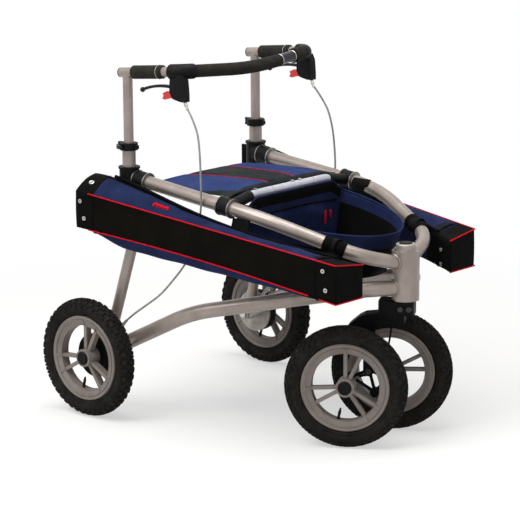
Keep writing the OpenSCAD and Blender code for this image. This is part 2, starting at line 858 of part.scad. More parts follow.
// Studs on the cross tube and snaps on the bags
module snaps() {
    color("gainsboro") stand() {
        for (y = stud_shares) translate([cross_x, y * seat_half_w, cross_shoulder.z + cross_d / 2 + weld_gap])
            cylinder(d = stud_d, h = stud_h);
        pair() for (s = snap_shares) let (t = s.x)
            translate([bag_x(t), bag_out(t) + weld_gap, mix(bag_low(t), bag_top(t), s.y)])
                rotate([-90, 0, bag_yaw]) cylinder(d = snap_d, h = snap_h);
    }
}

// Rear brakes and axles
drum_end_y = half_track - hub_len / 2 - drum_w;
plate_out_y = drum_end_y - air;
plate_in_y = plate_out_y - plate_t;

module at_axle(y) {
    translate([0, y, wheel_r]) rotate([-90, 0, 0]) children();
}

module brake_plates() {
    color("silver") stand() pair() {
        difference() {
            union() {
                at_axle(plate_in_y) cylinder(d = drum_d, h = plate_t);
                at_axle(axle_boss_y) cylinder(d = axle_boss_d, h = plate_in_y - axle_boss_y);
                at_axle(plate_in_y - cam_boss_h) translate([cam_x, -cam_z, 0])
                    cylinder(d = cam_boss_d, h = cam_boss_h);
            }
            at_axle(axle_boss_y - over) cylinder(d = axle_d + 2 * weld_gap, h = half_track);
        }
        brake_arm();
    }
}

// Arm on the brake cam; the cable ends at its eye
module brake_arm() {
    at_axle(plate_in_y - cam_boss_h - arm_plate_t - weld_gap) translate([cam_x, -cam_z, 0])
        rotate(-brake_arm_angle) linear_extrude(arm_plate_t) difference() {
            union() {
                circle(d = cam_boss_d);
                translate([brake_arm_len, 0]) circle(d = arm_eye_d);
                translate([0, -arm_eye_d / 2]) square([brake_arm_len, arm_eye_d]);
            }
            translate([brake_arm_len, 0]) circle(d = cable_d / 2);
        }
}

module rear_axles() {
    color("dimgray") stand() pair() {
        at_axle(axle_boss_y - axle_nut_h) cylinder(d = axle_nut_d, h = axle_nut_h);
        at_axle(axle_boss_y - axle_nut_h) cylinder(d = axle_d, h = half_track + hub_len / 2 - axle_boss_y + axle_nut_h);
    }
}

module brake_shoes() {
    shoe_r = drum_d / 2 - drum_wall - shoe_gap;
    color("saddlebrown") stand() pair() at_axle(plate_out_y + seat_gap)
        linear_extrude(drum_w - drum_wall - air) difference() {
            circle(shoe_r);
            circle(shoe_r - shoe_t);
            square([shoe_split, drum_d], center = true);
        }
}

// Clamps at the top of the lower posts
module post_clamps() {
    color("#161616") stand() pair() translate([post_x, post_y, clamp_z]) difference() {
        union() {
            cylinder(d = leg_d + 2 * clamp_wall, h = clamp_h);
            translate([-clamp_pivot_r, -clamp_ear_r, 0]) cube([clamp_pivot_r, 2 * clamp_ear_r, clamp_h]);
            translate([-clamp_pivot_r, 0, 0]) cylinder(r = clamp_ear_r, h = clamp_h);
            translate([0, -clamp_ear_r, clamp_h / 4]) cube([clamp_pivot_r, 2 * clamp_ear_r, clamp_h / 2]);
        }
        translate([0, 0, -over]) cylinder(d = leg_d + 2 * weld_gap, h = leg_top_z - clamp_z + over);
        cylinder(d = post_d + 2 * air, h = clamp_h + over);
        translate([-clamp_pivot_r - 2 * clamp_ear_r, -2 * clamp_ear_r, clamp_h / 4 - air / 2]) difference() {
            cube([clamp_slot_len + clamp_ear_r / 2, 4 * clamp_ear_r, clamp_h / 2 + air]);
            translate([2 * clamp_ear_r, 2 * clamp_ear_r, 0]) cylinder(d = clamp_pin_d, h = clamp_h);
        }
    }
}

// Quick-release lever: an arc that lies round the clamp
module clamp_lever() {
    inner_r = leg_d / 2 + clamp_wall + air;
    color("#202020") stand() translate([post_x, post_y, clamp_z + clamp_h / 4]) linear_extrude(clamp_h / 2)
        difference() {
            union() {
                intersection() {
                    difference() {
                        circle(inner_r + clamp_lever_t);
                        circle(inner_r);
                    }
                    polygon([[0, 0], [-2 * clamp_pivot_r, 0], [-2 * clamp_pivot_r, 2 * clamp_pivot_r],
                        [lever_tip_share * clamp_lever_len, 2 * clamp_pivot_r]]);
                }
                translate([-clamp_pivot_r, 0]) circle(clamp_ear_r - air / 2);
            }
            translate([-clamp_pivot_r, 0]) circle(d = clamp_pin_d + 2 * run_gap);
        }
}
module clamp_lever_left() { clamp_lever(); }
module clamp_lever_right() { right() clamp_lever(); }

// Brake cables, from the brake brackets past the rails to the brake arms
function cable_end(i) = cable_route[max(0, min(i, len(cable_route) - 1))];
function cable_at(i, t) = let (a = cable_end(i - 1), b = cable_end(i), c = cable_end(i + 1), d = cable_end(i + 2))
    b + (c - a) * t / 2 + (2 * a - 5 * b + 4 * c - d) * t * t / 2 + (3 * b - a - 3 * c + d) * t * t * t / 2;
cable_points = [
    for (i = [0:len(cable_route) - 2], k = [0:cable_steps - 1]) cable_at(i, k / cable_steps),
    cable_route[len(cable_route) - 1]
];
function cable_dir(i) = unit(cable_points[min(i + 1, len(cable_points) - 1)] - cable_points[max(i - 1, 0)]);
function cable_ring(i) = let (d = cable_dir(i), a = unit(cross(d, [0, 1, 0])), b = cross(d, a)) [
    for (k = [0:cable_sides - 1]) let (w = 360 * k / cable_sides)
        cable_points[i] + (a * cos(w) + b * sin(w)) * cable_d / 2
];

module cable() {
    color("dimgray") stand() loft([for (i = [len(cable_points) - 1:-1:0]) cable_ring(i)]);
}
module cable_left() { cable(); }
module cable_right() { right() cable(); }

// Wheels, drawn round local Z with the outer side at +Z
module tyre(phase) {
    color("#1b1b1b") {
        difference() {
            rotate_extrude() {
                difference() {
                    translate([wheel_r - tyre_r, 0]) circle(tyre_r);
                    translate([0, -tyre_w / 2]) square([rim_flange_r + seat_gap, tyre_w]);
                }
                translate([rim_well_r + seat_gap, -bead_w / 2])
                    square([wheel_r - tyre_r - rim_well_r, bead_w]);
            }
            for (i = [0:tread_count - 1], s = [-1, 1]) rotate(360 * (i + s / 4) / tread_count)
                translate([wheel_r - tyre_r, 0, 0]) rotate([0, -s * shoulder_angle, 0])
                    translate([tyre_r - tread_depth, -tread_gap / 2, -tread_len / 2])
                        cube([tread_depth + over, tread_gap, tread_len]);
        }
        rotate(-90 - phase) rotate([0, 90, 0]) translate([0, 0, rim_bore_r - valve_len])
            cylinder(d = valve_d, h = valve_len - seat_gap);
    }
}

module spoke(root, tip) {
    run = tip - root;
    translate([root.x, root.y, 0]) rotate(atan2(run.y, run.x)) {
        translate([0, -spoke_web_t / 2, -spoke_depth / 2]) cube([norm(run), spoke_web_t, spoke_depth]);
        translate([0, -spoke_t / 2, spoke_depth / 2 - spoke_web_t]) cube([norm(run), spoke_t, spoke_web_t]);
    }
}

bead_w = rim_w - 2 * flange_t - 2 * seat_gap;
function polar(r, a) = [r * cos(a), r * sin(a)];

module rim(phase) {
    color("#8d8a86") difference() {
        union() {
            rotate_extrude() polygon(rim_section);
            cylinder(d = hub_d, h = hub_len, center = true);
            for (k = [0:2], s = [-1, 1]) let (a = 90 - phase + 120 * k)
                spoke(polar(hub_d / 2 - spoke_t / 2, a + s * spoke_half_angle),
                    polar(rim_bore_r + spoke_t / 2, a + s * spoke_half_angle));
        }
        cylinder(d = axle_d + 2 * air, h = 2 * hub_len, center = true);
        for (s = [-1, 1]) translate([0, 0, s * hub_len / 2]) cylinder(d = bearing_d, h = 2 * bearing_w, center = true);
    }
}
rim_lip_shares = [0.3, 0.55];
rim_section = [
    [rim_bore_r, -rim_w * rim_lip_shares[0]], [rim_bore_r, rim_w * rim_lip_shares[0]],
    [mix(rim_bore_r, rim_flange_r, rim_lip_shares[1]), rim_w / 2 - flange_t / 2],
    [rim_flange_r - flange_t / 2, rim_w / 2], [rim_flange_r, rim_w / 2 - flange_t / 2],
    [rim_flange_r, rim_w / 2 - flange_t], [rim_well_r, rim_w / 2 - flange_t],
    [rim_well_r, flange_t - rim_w / 2], [rim_flange_r, flange_t - rim_w / 2],
    [rim_flange_r, flange_t / 2 - rim_w / 2], [rim_flange_r - flange_t / 2, -rim_w / 2],
    [mix(rim_bore_r, rim_flange_r, rim_lip_shares[1]), flange_t / 2 - rim_w / 2]
];

module bearings() {
    color("gray") for (s = [-1, 1]) translate([0, 0, s * (hub_len - bearing_w) / 2 - bearing_w / 2])
        ring(bearing_d - 2 * weld_gap, axle_d + 2 * run_gap, bearing_w);
}

module hub_cap() {
    color("#3a3a3a") translate([0, 0, hub_len / 2 + weld_gap]) rotate_extrude()
        polygon([[0, cap_recess], [axle_d / 2 + air, cap_recess], [axle_d / 2 + air, 0], [hub_cap_d / 2, 0],
            [hub_cap_d / 2, hub_cap_h / 2], [hub_cap_d / 2 - hub_cap_h / 2, hub_cap_h], [0, hub_cap_h]]);
}

module drum() {
    color("#202020") translate([0, 0, -hub_len / 2 - drum_w]) difference() {
        cylinder(d = drum_d, h = drum_w - weld_gap);
        translate([0, 0, -over]) cylinder(d = drum_d - 2 * drum_wall, h = drum_w - drum_wall + over);
        cylinder(d = axle_d + 2 * air, h = drum_w + over);
    }
}

// Angles of the first spoke pair as the wheels stand, clockwise from the top in the view from the right
near_phase = 13;
far_phase = 75;

module rear_wheel() { stand() translate([0, half_track, wheel_r]) rotate([90, 0, 180]) children(); }
module rear_tyre_left() { rear_wheel() tyre(-near_phase); }
module rear_tyre_right() { right() rear_wheel() tyre(-near_phase); }
module rear_rim_left() { rear_wheel() rim(-near_phase); }
module rear_rim_right() { right() rear_wheel() rim(-near_phase); }
module drum_left() { rear_wheel() drum(); }
module drum_right() { right() rear_wheel() drum(); }
module rear_bearings_left() { rear_wheel() bearings(); }
module rear_bearings_right() { right() rear_wheel() bearings(); }
module rear_cap_left() { rear_wheel() hub_cap(); }
module rear_cap_right() { right() rear_wheel() hub_cap(); }

// Front unit: local X is the rolling direction, and the steering axis is local Z
module front() { stand() translate([steer_reach, 0, 0]) rotate(swivel_angle) children(); }
fore_axle_trail = pivot_trail - axle_stagger / 2;
module front_wheel_left_at() {
    front() translate([-fore_axle_trail, front_half, wheel_r]) rotate([90, 0, 180]) children();
}
module front_wheel_right_at() {
    front() right() translate([-rear_trail, front_half, wheel_r]) rotate([90, 0, 180]) children();
}
module front_tyre_left() { front_wheel_left_at() tyre(-far_phase); }
module front_tyre_right() { front_wheel_right_at() tyre(-near_phase); }
module front_rim_left() { front_wheel_left_at() rim(-far_phase); }
module front_rim_right() { front_wheel_right_at() rim(-near_phase); }
module front_bearings_left() { front_wheel_left_at() bearings(); }
module front_bearings_right() { front_wheel_right_at() bearings(); }
module front_cap_left() { front_wheel_left_at() hub_cap(); }
module front_cap_right() { front_wheel_right_at() hub_cap(); }

crown_top_z = head_low_z - air;
crown_low_z = crown_top_z - crown_h;
pivot_z = wheel_r + pivot_rise;

module rounded_plate(size, r, h) {
    linear_extrude(h) {
        translate([r, 0]) square([size.x - 2 * r, size.y]);
        translate([0, r]) square([size.x, size.y - 2 * r]);
        for (x = [r, size.x - r], y = [r, size.y - r]) translate([x, y]) circle(r);
    }
}

// Side view of the arm: shares of its length behind the steering axis and of its height
arm_top_shares = [[0, 1.1], [0.45, 1.1], [0.7, 0.95], [0.8, 0.72], [0.96, 0.1], [1, -0.1]];
arm_low_shares = [[0.98, -0.32], [0.6, -0.06], [0.2, 0.1], [0, 0.3]];

module fork_crown() {
    color("#121212") front() difference() {
        union() {
            translate([0, 0, crown_low_z]) cylinder(d = stem_d, h = head_top_z + stem_proud - crown_low_z);
            translate([crown_nose - crown_len, -crown_w / 2, crown_low_z])
                rounded_plate([crown_len, crown_w], crown_round, crown_h);
            translate([0, arm_w / 2, 0]) rotate([90, 0, 0]) linear_extrude(arm_w)
                polygon([for (s = concat(arm_top_shares, arm_low_shares))
                    [-s.x * arm_trail, crown_low_z - arm_h + s.y * arm_h]]);
            for (s = [-1, 1]) translate([-pivot_trail, s * (cheek_gap + cheek_t / 2), 0]) {
                translate([-leg_w / 2, -cheek_t / 2, pivot_z]) cube([leg_w, cheek_t, crown_low_z - arm_h - pivot_z]);
                translate([0, 0, pivot_z]) rotate([90, 0, 0]) cylinder(d = leg_w, h = cheek_t, center = true);
            }
            along([-stop_rod_trail, 0, crown_low_z - arm_h / 2], [-stop_lean_share, 0, -1])
                cylinder(d = stop_rod_d, h = stop_rod_len);
        }
        translate([-pivot_trail, 0, pivot_z]) rotate([90, 0, 0])
            cylinder(d = pivot_d + 2 * weld_gap, h = 2 * arm_w, center = true);
        for (x = crown_bolt_x) translate([x, 0, crown_low_z + crown_h / 2]) rotate([90, 0, 0])
            cylinder(d = bolt_d + 2 * weld_gap, h = 2 * crown_w, center = true);
    }
}

module through_bolt(d, half) {
    rotate([90, 0, 0]) {
        cylinder(d = d, h = 2 * half + bolt_head_h, center = true);
        for (s = [-1, 1]) translate([0, 0, s * (half + weld_gap + bolt_head_h / 2)])
            cylinder(d = d + bolt_head_d - bolt_d, h = bolt_head_h, center = true);
    }
}

module fork_bolts() {
    color("silver") front() {
        for (x = crown_bolt_x) translate([x, 0, crown_low_z + crown_h / 2]) through_bolt(bolt_d, crown_w / 2);
        translate([-pivot_trail, 0, pivot_z]) through_bolt(pivot_d, cheek_gap + cheek_t);
    }
}

// Rocker: a frame of rods between the pivot, the two axle bosses and the lower block
rocker_rear = [-rear_trail, wheel_r];
rocker_fore = [-fore_axle_trail, wheel_r];
rocker_top = [-pivot_trail, pivot_z];
rocker_low = [-low_block_trail, pivot_z - low_block_drop];
boss_reach = front_half - hub_len / 2 - air;
module at_side(p) { translate([p.x, 0, p.y]) rotate([90, 0, 0]) children(); }

module rocker_rod(a, b) {
    along([a.x, 0, a.y], [b.x - a.x, 0, b.y - a.y]) cylinder(d = rod_d, h = norm(b - a));
}

module rocker_frame() {
    color("#141414") front() difference() {
        union() {
            at_side(rocker_top) cylinder(d = leg_w, h = rocker_plate_w, center = true);
            at_side(rocker_low) cylinder(d = low_block_d, h = rocker_plate_w, center = true);
            at_side(rocker_rear) translate([0, 0, -rocker_plate_w / 2])
                cylinder(d = rocker_boss_d, h = boss_reach + rocker_plate_w / 2);
            at_side(rocker_fore) translate([0, 0, -boss_reach])
                cylinder(d = rocker_boss_d, h = boss_reach + rocker_plate_w / 2);
            rocker_rod(rocker_rear, rocker_top);
            rocker_rod(rocker_rear, rocker_low);
            rocker_rod(rocker_low, rocker_top);
            rocker_rod(rocker_fore, rocker_top);
            rocker_rod(rocker_fore, rocker_low);
        }
        at_side(rocker_top) cylinder(d = pivot_d + 2 * run_gap, h = arm_w, center = true);
        for (p = [rocker_rear, rocker_fore]) at_side(p)
            cylinder(d = axle_d + 2 * weld_gap, h = 2 * front_half, center = true);
    }
}

module rocker_axles() {
    reach = front_half + hub_len / 2;
    color("dimgray") front() for (s = [-1, 1]) at_side(s > 0 ? rocker_rear : rocker_fore) {
        translate([0, 0, s > 0 ? -rocker_plate_w / 2 - weld_gap : -reach])
            cylinder(d = axle_d, h = reach + rocker_plate_w / 2 + weld_gap);
        translate([0, 0, s > 0 ? -rocker_plate_w / 2 - axle_nut_h - weld_gap : rocker_plate_w / 2 + weld_gap])
            cylinder(d = axle_nut_d, h = axle_nut_h);
    }
}

// Push handle
module handle_tubes() {
    color("silver") stand() {
        bent_tube(handle_path, handle_bends, bar_d, bar_d - 2 * tube_wall);
        pair() difference() {
            translate([post_x, post_y, leg_top_z - post_overlap])
                ring(post_d, post_d - 2 * tube_wall, tee_z - leg_top_z + post_overlap);
            along(grip_at(post_x - tee_back), grip_dir) cylinder(d = bar_d - tube_wall, h = bar_reach);
        }
    }
}

module grips() {
    end_d = grip_d - 2 * grip_round;
    color("#343434") stand() pair() along(grip_at(grip_from_x), grip_dir) difference() {
        union() {
            cylinder(d1 = end_d, d2 = grip_d, h = grip_round);
            translate([0, 0, grip_round]) cylinder(d = grip_d, h = grip_len - 2 * grip_round);
            translate([0, 0, grip_len - grip_round]) cylinder(d1 = grip_d, d2 = end_d, h = grip_round);
        }
        translate([0, 0, -over]) cylinder(d = bar_d + 2 * weld_gap, h = grip_len + 2 * over);
    }
}

function on_bar(s) = bar_corner + bar_dir * s;
elbow_end = tangent_len(bar_bend_r, grip_dir, bar_dir) + elbow_tail;
cuff_end = elbow_end + cuff_len;

module bar_foam() {
    color("#2b2b2b") stand()
        bent_tube([flip(on_bar(elbow_end + seat_gap)), bar_mid, on_bar(cuff_end + sleeve_bare_len + 2 * seat_gap)],
            [bar_bow_r], foam_d, bar_d + 2 * (bend_swell + weld_gap));
    color("#2b2b2b") stand() along(on_bar(elbow_end + seat_gap), bar_dir)
        ring(bracket_cap_d, bar_d + 2 * (bend_swell + weld_gap), cuff_len - seat_gap);
}

module bar_sleeve() {
    color("#12182c") stand() along(on_bar(cuff_end + seat_gap), bar_dir)
        ring(bar_sleeve_d, bar_d + 2 * weld_gap, sleeve_bare_len);
}

// Corner brackets: a sleeve over the bend of the handle, with the brake body below it
bracket_shares = [[0.05, -0.1], [0.8, -0.1], [0.96, -0.3], [1.02, -0.75], [1.02, -1], [0.72, -1], [0.2, -0.93],
    [-0.02, -0.72], [0, -0.4]];

module brake_brackets() {
    color("#191919") stand() pair() difference() {
        union() {
            bent_rod([grip_at(bracket_x - bracket_back), bar_corner, on_bar(elbow_end)], [bar_bend_r],
                bracket_cap_d, bracket_cap_d + bend_swell);
            translate([bracket_x, post_y + bracket_t / 2, bar_corner.z]) rotate([90, 0, 0]) linear_extrude(bracket_t)
                polygon([for (s = bracket_shares) [s.x * bracket_front * 2, s.y * bracket_drop]]);
        }
        bent_rod([grip_at(post_x), bar_corner, on_bar(elbow_end + bar_reach / 2)], [bar_bend_r],
            bar_d + 2 * weld_gap, bar_d + 4 * weld_gap);
        translate(lever_pivot) rotate([90, 0, 0]) {
            cylinder(r = lever_root_r + air, h = lever_w + 2 * lever_slot_gap, center = true);
            translate([-lever_len, -lever_sweep, -lever_w / 2 - lever_slot_gap])
                cube([lever_len, lever_sweep + lever_root_r + air, lever_w + 2 * lever_slot_gap]);
        }
        translate(lock_pivot) rotate([90, 0, 0]) {
            cylinder(r = lock_root_r + air, h = lock_w + 2 * lever_slot_gap, center = true);
            translate([-lever_len, -lock_sweep, -lock_w / 2 - lever_slot_gap])
                cube([lever_len, lock_sweep + lock_h / 2 + air, lock_w + 2 * lever_slot_gap]);
        }
    }
    color("silver") stand() pair() for (p = [lever_pivot, lock_pivot])
        translate(p) rotate([90, 0, 0]) cylinder(d = pin_d, h = bracket_t, center = true);
}

// Brake lever: an arched blade with a ball end, turning on its pin
module brake_lever() {
    chord = lever_len - lever_ball_d / 2;
    arch_r = (chord * chord / 4 + lever_arch * lever_arch) / (2 * lever_arch);
    sweep = 2 * asin(chord / 2 / arch_r);
    color("#202020") stand() translate(lever_pivot) rotate([0, -lever_droop, 0]) difference() {
        union() {
            rotate([90, 0, 0]) {
                translate([-chord / 2, lever_arch - arch_r, 0]) rotate(90 - sweep / 2)
                    rotate_extrude(angle = sweep) translate([arch_r - lever_t / 2, -lever_w / 2])
                        square([lever_t, lever_w]);
                cylinder(r = lever_root_r, h = lever_w + weld_gap, center = true);
            }
            translate([-chord, 0, 0]) rotate([90, 0, 180]) sphere(d = lever_ball_d);
        }
        rotate([90, 0, 0]) cylinder(d = pin_d + 2 * run_gap, h = 2 * lever_w, center = true);
    }
}
module brake_lever_left() { brake_lever(); }
module brake_lever_right() { right() brake_lever(); }

// Parking lock: a small hooked trigger under the lever
lock_shares = [[0, 0.3], [-0.3, 0.4], [-0.65, 0.5], [-1, 0.15], [-0.89, -0.1], [-1, -0.5], [-0.79, -0.6], [-0.4, -0.35], [0, -0.3]];

module brake_lock() {
    color("red") stand() translate(lock_pivot) rotate([90, 0, 0]) difference() {
        linear_extrude(lock_w, center = true) {
            polygon([for (s = lock_shares) [s.x * lock_len, s.y * lock_h]]);
            circle(lock_root_r);
        }
        cylinder(d = pin_d + 2 * run_gap, h = 2 * lock_w, center = true);
    }
}
module brake_lock_left() { brake_lock(); }
module brake_lock_right() { right() brake_lock(); }

head_tube();
head_bearings();
head_cap();
upper_rail_right();
upper_rail_left();
lower_rail_right();
lower_rail_left();
strut_right();
strut_left();
leg_right();
leg_left();
leg_brackets();
rail_collars();
collar_rings();
seat_cross_tube();
seat_pad();
basket();
strap_sleeves();
bag_right();
bag_left();
snaps();
brake_plates();
rear_axles();
brake_shoes();
post_clamps();
cable_right();
cable_left();
rear_tyre_right();
rear_tyre_left();
rear_rim_right();
rear_rim_left();
drum_right();
drum_left();
rear_bearings_right();
rear_bearings_left();
rear_cap_right();
rear_cap_left();
front_tyre_right();
front_tyre_left();
front_rim_right();
front_rim_left();
front_bearings_right();
front_bearings_left();
front_cap_right();
front_cap_left();
fork_crown();
fork_bolts();
rocker_frame();
rocker_axles();
handle_tubes();
grips();
bar_foam();
bar_sleeve();
brake_brackets();
brake_lever_right();
brake_lever_left();
brake_lock_right();
brake_lock_left();
clamp_lever_right();
clamp_lever_left();
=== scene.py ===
"""Looks of the all-terrain rollator.

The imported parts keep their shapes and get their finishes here. The tyres, cables, seat cover, basket, side bags and
webbing are modelled anew in the place of their plain solids. Lengths are metres in the part's own frame. Sizes that go
through at() are millimetres from the rear axle, the middle and the ground.
"""

import json
import logging
import math
from dataclasses import dataclass
from enum import Enum, IntEnum
from typing import Callable, Sequence, Union

import bmesh
import bpy
from mathutils import Matrix, Vector, noise
from mathutils.bvhtree import BVHTree


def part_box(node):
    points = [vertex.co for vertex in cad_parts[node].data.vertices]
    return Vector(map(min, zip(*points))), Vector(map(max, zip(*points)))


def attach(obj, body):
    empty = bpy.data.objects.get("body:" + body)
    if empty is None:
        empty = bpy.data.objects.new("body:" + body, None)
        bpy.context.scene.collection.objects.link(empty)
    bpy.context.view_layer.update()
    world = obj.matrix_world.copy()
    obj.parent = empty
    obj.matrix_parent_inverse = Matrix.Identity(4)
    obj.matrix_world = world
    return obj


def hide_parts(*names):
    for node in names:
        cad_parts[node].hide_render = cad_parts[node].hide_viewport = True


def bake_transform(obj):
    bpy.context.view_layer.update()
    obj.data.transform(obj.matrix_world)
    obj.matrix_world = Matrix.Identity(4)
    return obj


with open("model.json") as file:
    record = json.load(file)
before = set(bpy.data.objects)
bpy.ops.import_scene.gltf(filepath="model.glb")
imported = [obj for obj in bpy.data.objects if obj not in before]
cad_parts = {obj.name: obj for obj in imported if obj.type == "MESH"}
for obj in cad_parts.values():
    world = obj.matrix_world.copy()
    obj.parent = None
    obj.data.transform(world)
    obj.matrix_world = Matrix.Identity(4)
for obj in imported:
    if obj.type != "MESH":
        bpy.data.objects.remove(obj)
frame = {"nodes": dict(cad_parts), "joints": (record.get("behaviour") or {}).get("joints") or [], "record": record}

BMesh, BMVert, BMEdge = bmesh.types.BMesh, bmesh.types.BMVert, bmesh.types.BMEdge
Mesh, Object = bpy.types.Mesh, bpy.types.Object
Pair = tuple[float, float]
Point = tuple[float, float, float]

LOG = logging.getLogger("rollator")
MM = 0.001
AXLE_X = -0.33178
SWIVEL = math.radians(29.8)
AHEAD = Vector((1, 0, 0))
UP = Vector((0, 0, 1))
DOWN = Vector((0, 0, -1))
WHITE = (1, 1, 1, 1)


class Side(Enum):
    """The two sides of the rollator, with the sign of Y on each."""

    LEFT = 1
    RIGHT = -1

    @property
    def word(self) -> str:
        """The side's name in lower case, as node names end with it."""
        return self.name.lower()


class BagCloth(IntEnum):
    """Cloths of a side bag, by material number."""

    PANEL = 0
    NAVY = 1
    BLACK = 2


class TubCloth(IntEnum):
    """Cloths of the basket, by material number."""

    NAVY = 0
    BLACK = 1
    NET = 2


def at(x: float, y: float, z: float) -> Vector:
    """Point from millimetres ahead of the rear axle, to the left of the middle and over the ground."""
    return Vector((AXLE_X + x * MM, y * MM, z * MM))


def mix(a: float, b: float, t: float) -> float:
    """Value at share t of the way from a to b."""
    return a + (b - a) * t


def smooth(a: float, b: float, x: float) -> float:
    """Smooth step of x from 0 at a to 1 at b."""
    t = min(1.0, max(0.0, (x - a) / (b - a)))
    return t * t * (3 - 2 * t)


def arch(s: float) -> float:
    """Half a sine wave over shares 0 to 1."""
    return math.sin(math.pi * s)


def shares(count: int) -> list[float]:
    """Shares from 0 to 1 in equal steps."""
    return [k / count for k in range(count + 1)]


def turns(count: int) -> list[float]:
    """Angles of a full turn in equal steps, without the last."""
    return [2 * math.pi * k / count for k in range(count)]


def ripple(a: float, b: float, c: float) -> float:
    """Soft random height at three coordinates, the same on each run."""
    return noise.noise(Vector((a, b, c)))


def linear(code: str) -> tuple[float, float, float, float]:
    """Linear colour of a six-digit hex code."""
    parts = [int(code[i:i + 2], 16) / 255 for i in (0, 2, 4)]
    return (*[c / 12.92 if c <= 0.04045 else ((c + 0.055) / 1.055) ** 2.4 for c in parts], 1.0)


Value = Union["Sock", float]


class Sock:
    """A shader output whose maths is written with Python's operators."""

    def __init__(self, tree: "Tree", socket: bpy.types.NodeSocket) -> None:
        """Keeps the socket and the tree that it belongs to."""
        self.tree, self.socket = tree, socket

    def __add__(self, other: Value) -> "Sock":
        """Sum."""
        return self.tree.math("ADD", self, other)

    __radd__ = __add__

    def __mul__(self, other: Value) -> "Sock":
        """Product."""
        return self.tree.math("MULTIPLY", self, other)

    __rmul__ = __mul__

    def __sub__(self, other: Value) -> "Sock":
        """Difference."""
        return self.tree.math("SUBTRACT", self, other)

    def __rsub__(self, other: Value) -> "Sock":
        """Difference from a number."""
        return self.tree.math("SUBTRACT", other, self)

    def __abs__(self) -> "Sock":
        """Absolute value."""
        return self.tree.math("ABSOLUTE", self)

    def __lt__(self, other: Value) -> "Sock":
        """1 where the value is below the other."""
        return self.tree.math("LESS_THAN", self, other)

    def __gt__(self, other: Value) -> "Sock":
        """1 where the value is above the other."""
        return self.tree.math("GREATER_THAN", self, other)

    def sine(self) -> "Sock":
        """Sine of the value in radians."""
        return self.tree.math("SINE", self)

    def ramp(self, low: float, high: float, first: float = 0.0, last: float = 1.0) -> "Sock":
        """Value mapped from low..high to first..last, held at the ends."""
        return self.tree.node("ShaderNodeMapRange", {"clamp": True}, {0: self, 1: low, 2: high, 3: first, 4: last})


class Tree:
    """The node tree of a material or of the surroundings."""

    def __init__(self, owner: Union[bpy.types.Material, bpy.types.World]) -> None:
        """Empties the owner's tree.

        Args:
            owner: The material or world.
        """
        owner.use_nodes = True
        self.nodes, self.links = owner.node_tree.nodes, owner.node_tree.links
        self.nodes.clear()

    def node(self, kind: str, settings: dict | None = None, inputs: dict | None = None,
             out: Union[int, str] = 0) -> Sock:
        """Adds a node.

        Args:
            kind: Blender's node type.
            settings: Properties that are set first.
            inputs: Values or sockets by input name or number.
            out: Name or number of the output that is wanted.

        Returns:
            That output.
        """
        made = self.nodes.new(kind)
        for key, value in (settings or {}).items():
            setattr(made, key, value)
        for key, value in (inputs or {}).items():
            if isinstance(value, Sock):
                self.links.new(value.socket, made.inputs[key])
            else:
                made.inputs[key].default_value = value
        return Sock(self, made.outputs[out])

    def end(self, kind: str, shader: Sock) -> None:
        """Ends the tree in an output node."""
        self.links.new(shader.socket, self.nodes.new(kind).inputs[0])

    def math(self, operation: str, *values: Value) -> Sock:
        """Math node on one or two values."""
        return self.node("ShaderNodeMath", {"operation": operation}, dict(enumerate(values)))

    def place(self) -> Sock:
        """Object coordinates."""
        return self.node("ShaderNodeTexCoord", out="Object")

    def axes(self, vector: Sock) -> tuple[Sock, Sock, Sock]:
        """The three parts of a vector."""
        first = self.node("ShaderNodeSeparateXYZ", None, {0: vector})
        return tuple(Sock(self, out) for out in first.socket.node.outputs)

    def stretched(self, vector: Sock, scale: Point) -> Sock:
        """The vector scaled along its axes."""
        return self.node("ShaderNodeMapping", None, {"Vector": vector, "Scale": scale})

    def noise(self, vector: Sock, scale: float, detail: float = 2.0, rough: float = 0.55) -> Sock:
        """Noise from 0 to 1 at a scale per metre."""
        return self.node("ShaderNodeTexNoise", None,
                         {"Vector": vector, "Scale": scale, "Detail": detail, "Roughness": rough})

    def blend(self, low: Union[Sock, tuple], high: Union[Sock, tuple], share: Value) -> Sock:
        """Mix of two colours."""
        return self.node("ShaderNodeMix", {"data_type": "RGBA"}, {0: share, 6: low, 7: high}, out=2)

    def bump(self, height: Sock, strength: float, depth: float) -> Sock:
        """Normal bent by a height."""
        return self.node("ShaderNodeBump", None, {"Strength": strength, "Distance": depth, "Height": height})

    def seen(self) -> Sock:
        """1 for the rays that show a surface to the camera, in a mirror or through glass."""
        return sum(self.node("ShaderNodeLightPath", out=f"Is {kind} Ray")
                   for kind in ("Camera", "Glossy", "Transmission"))


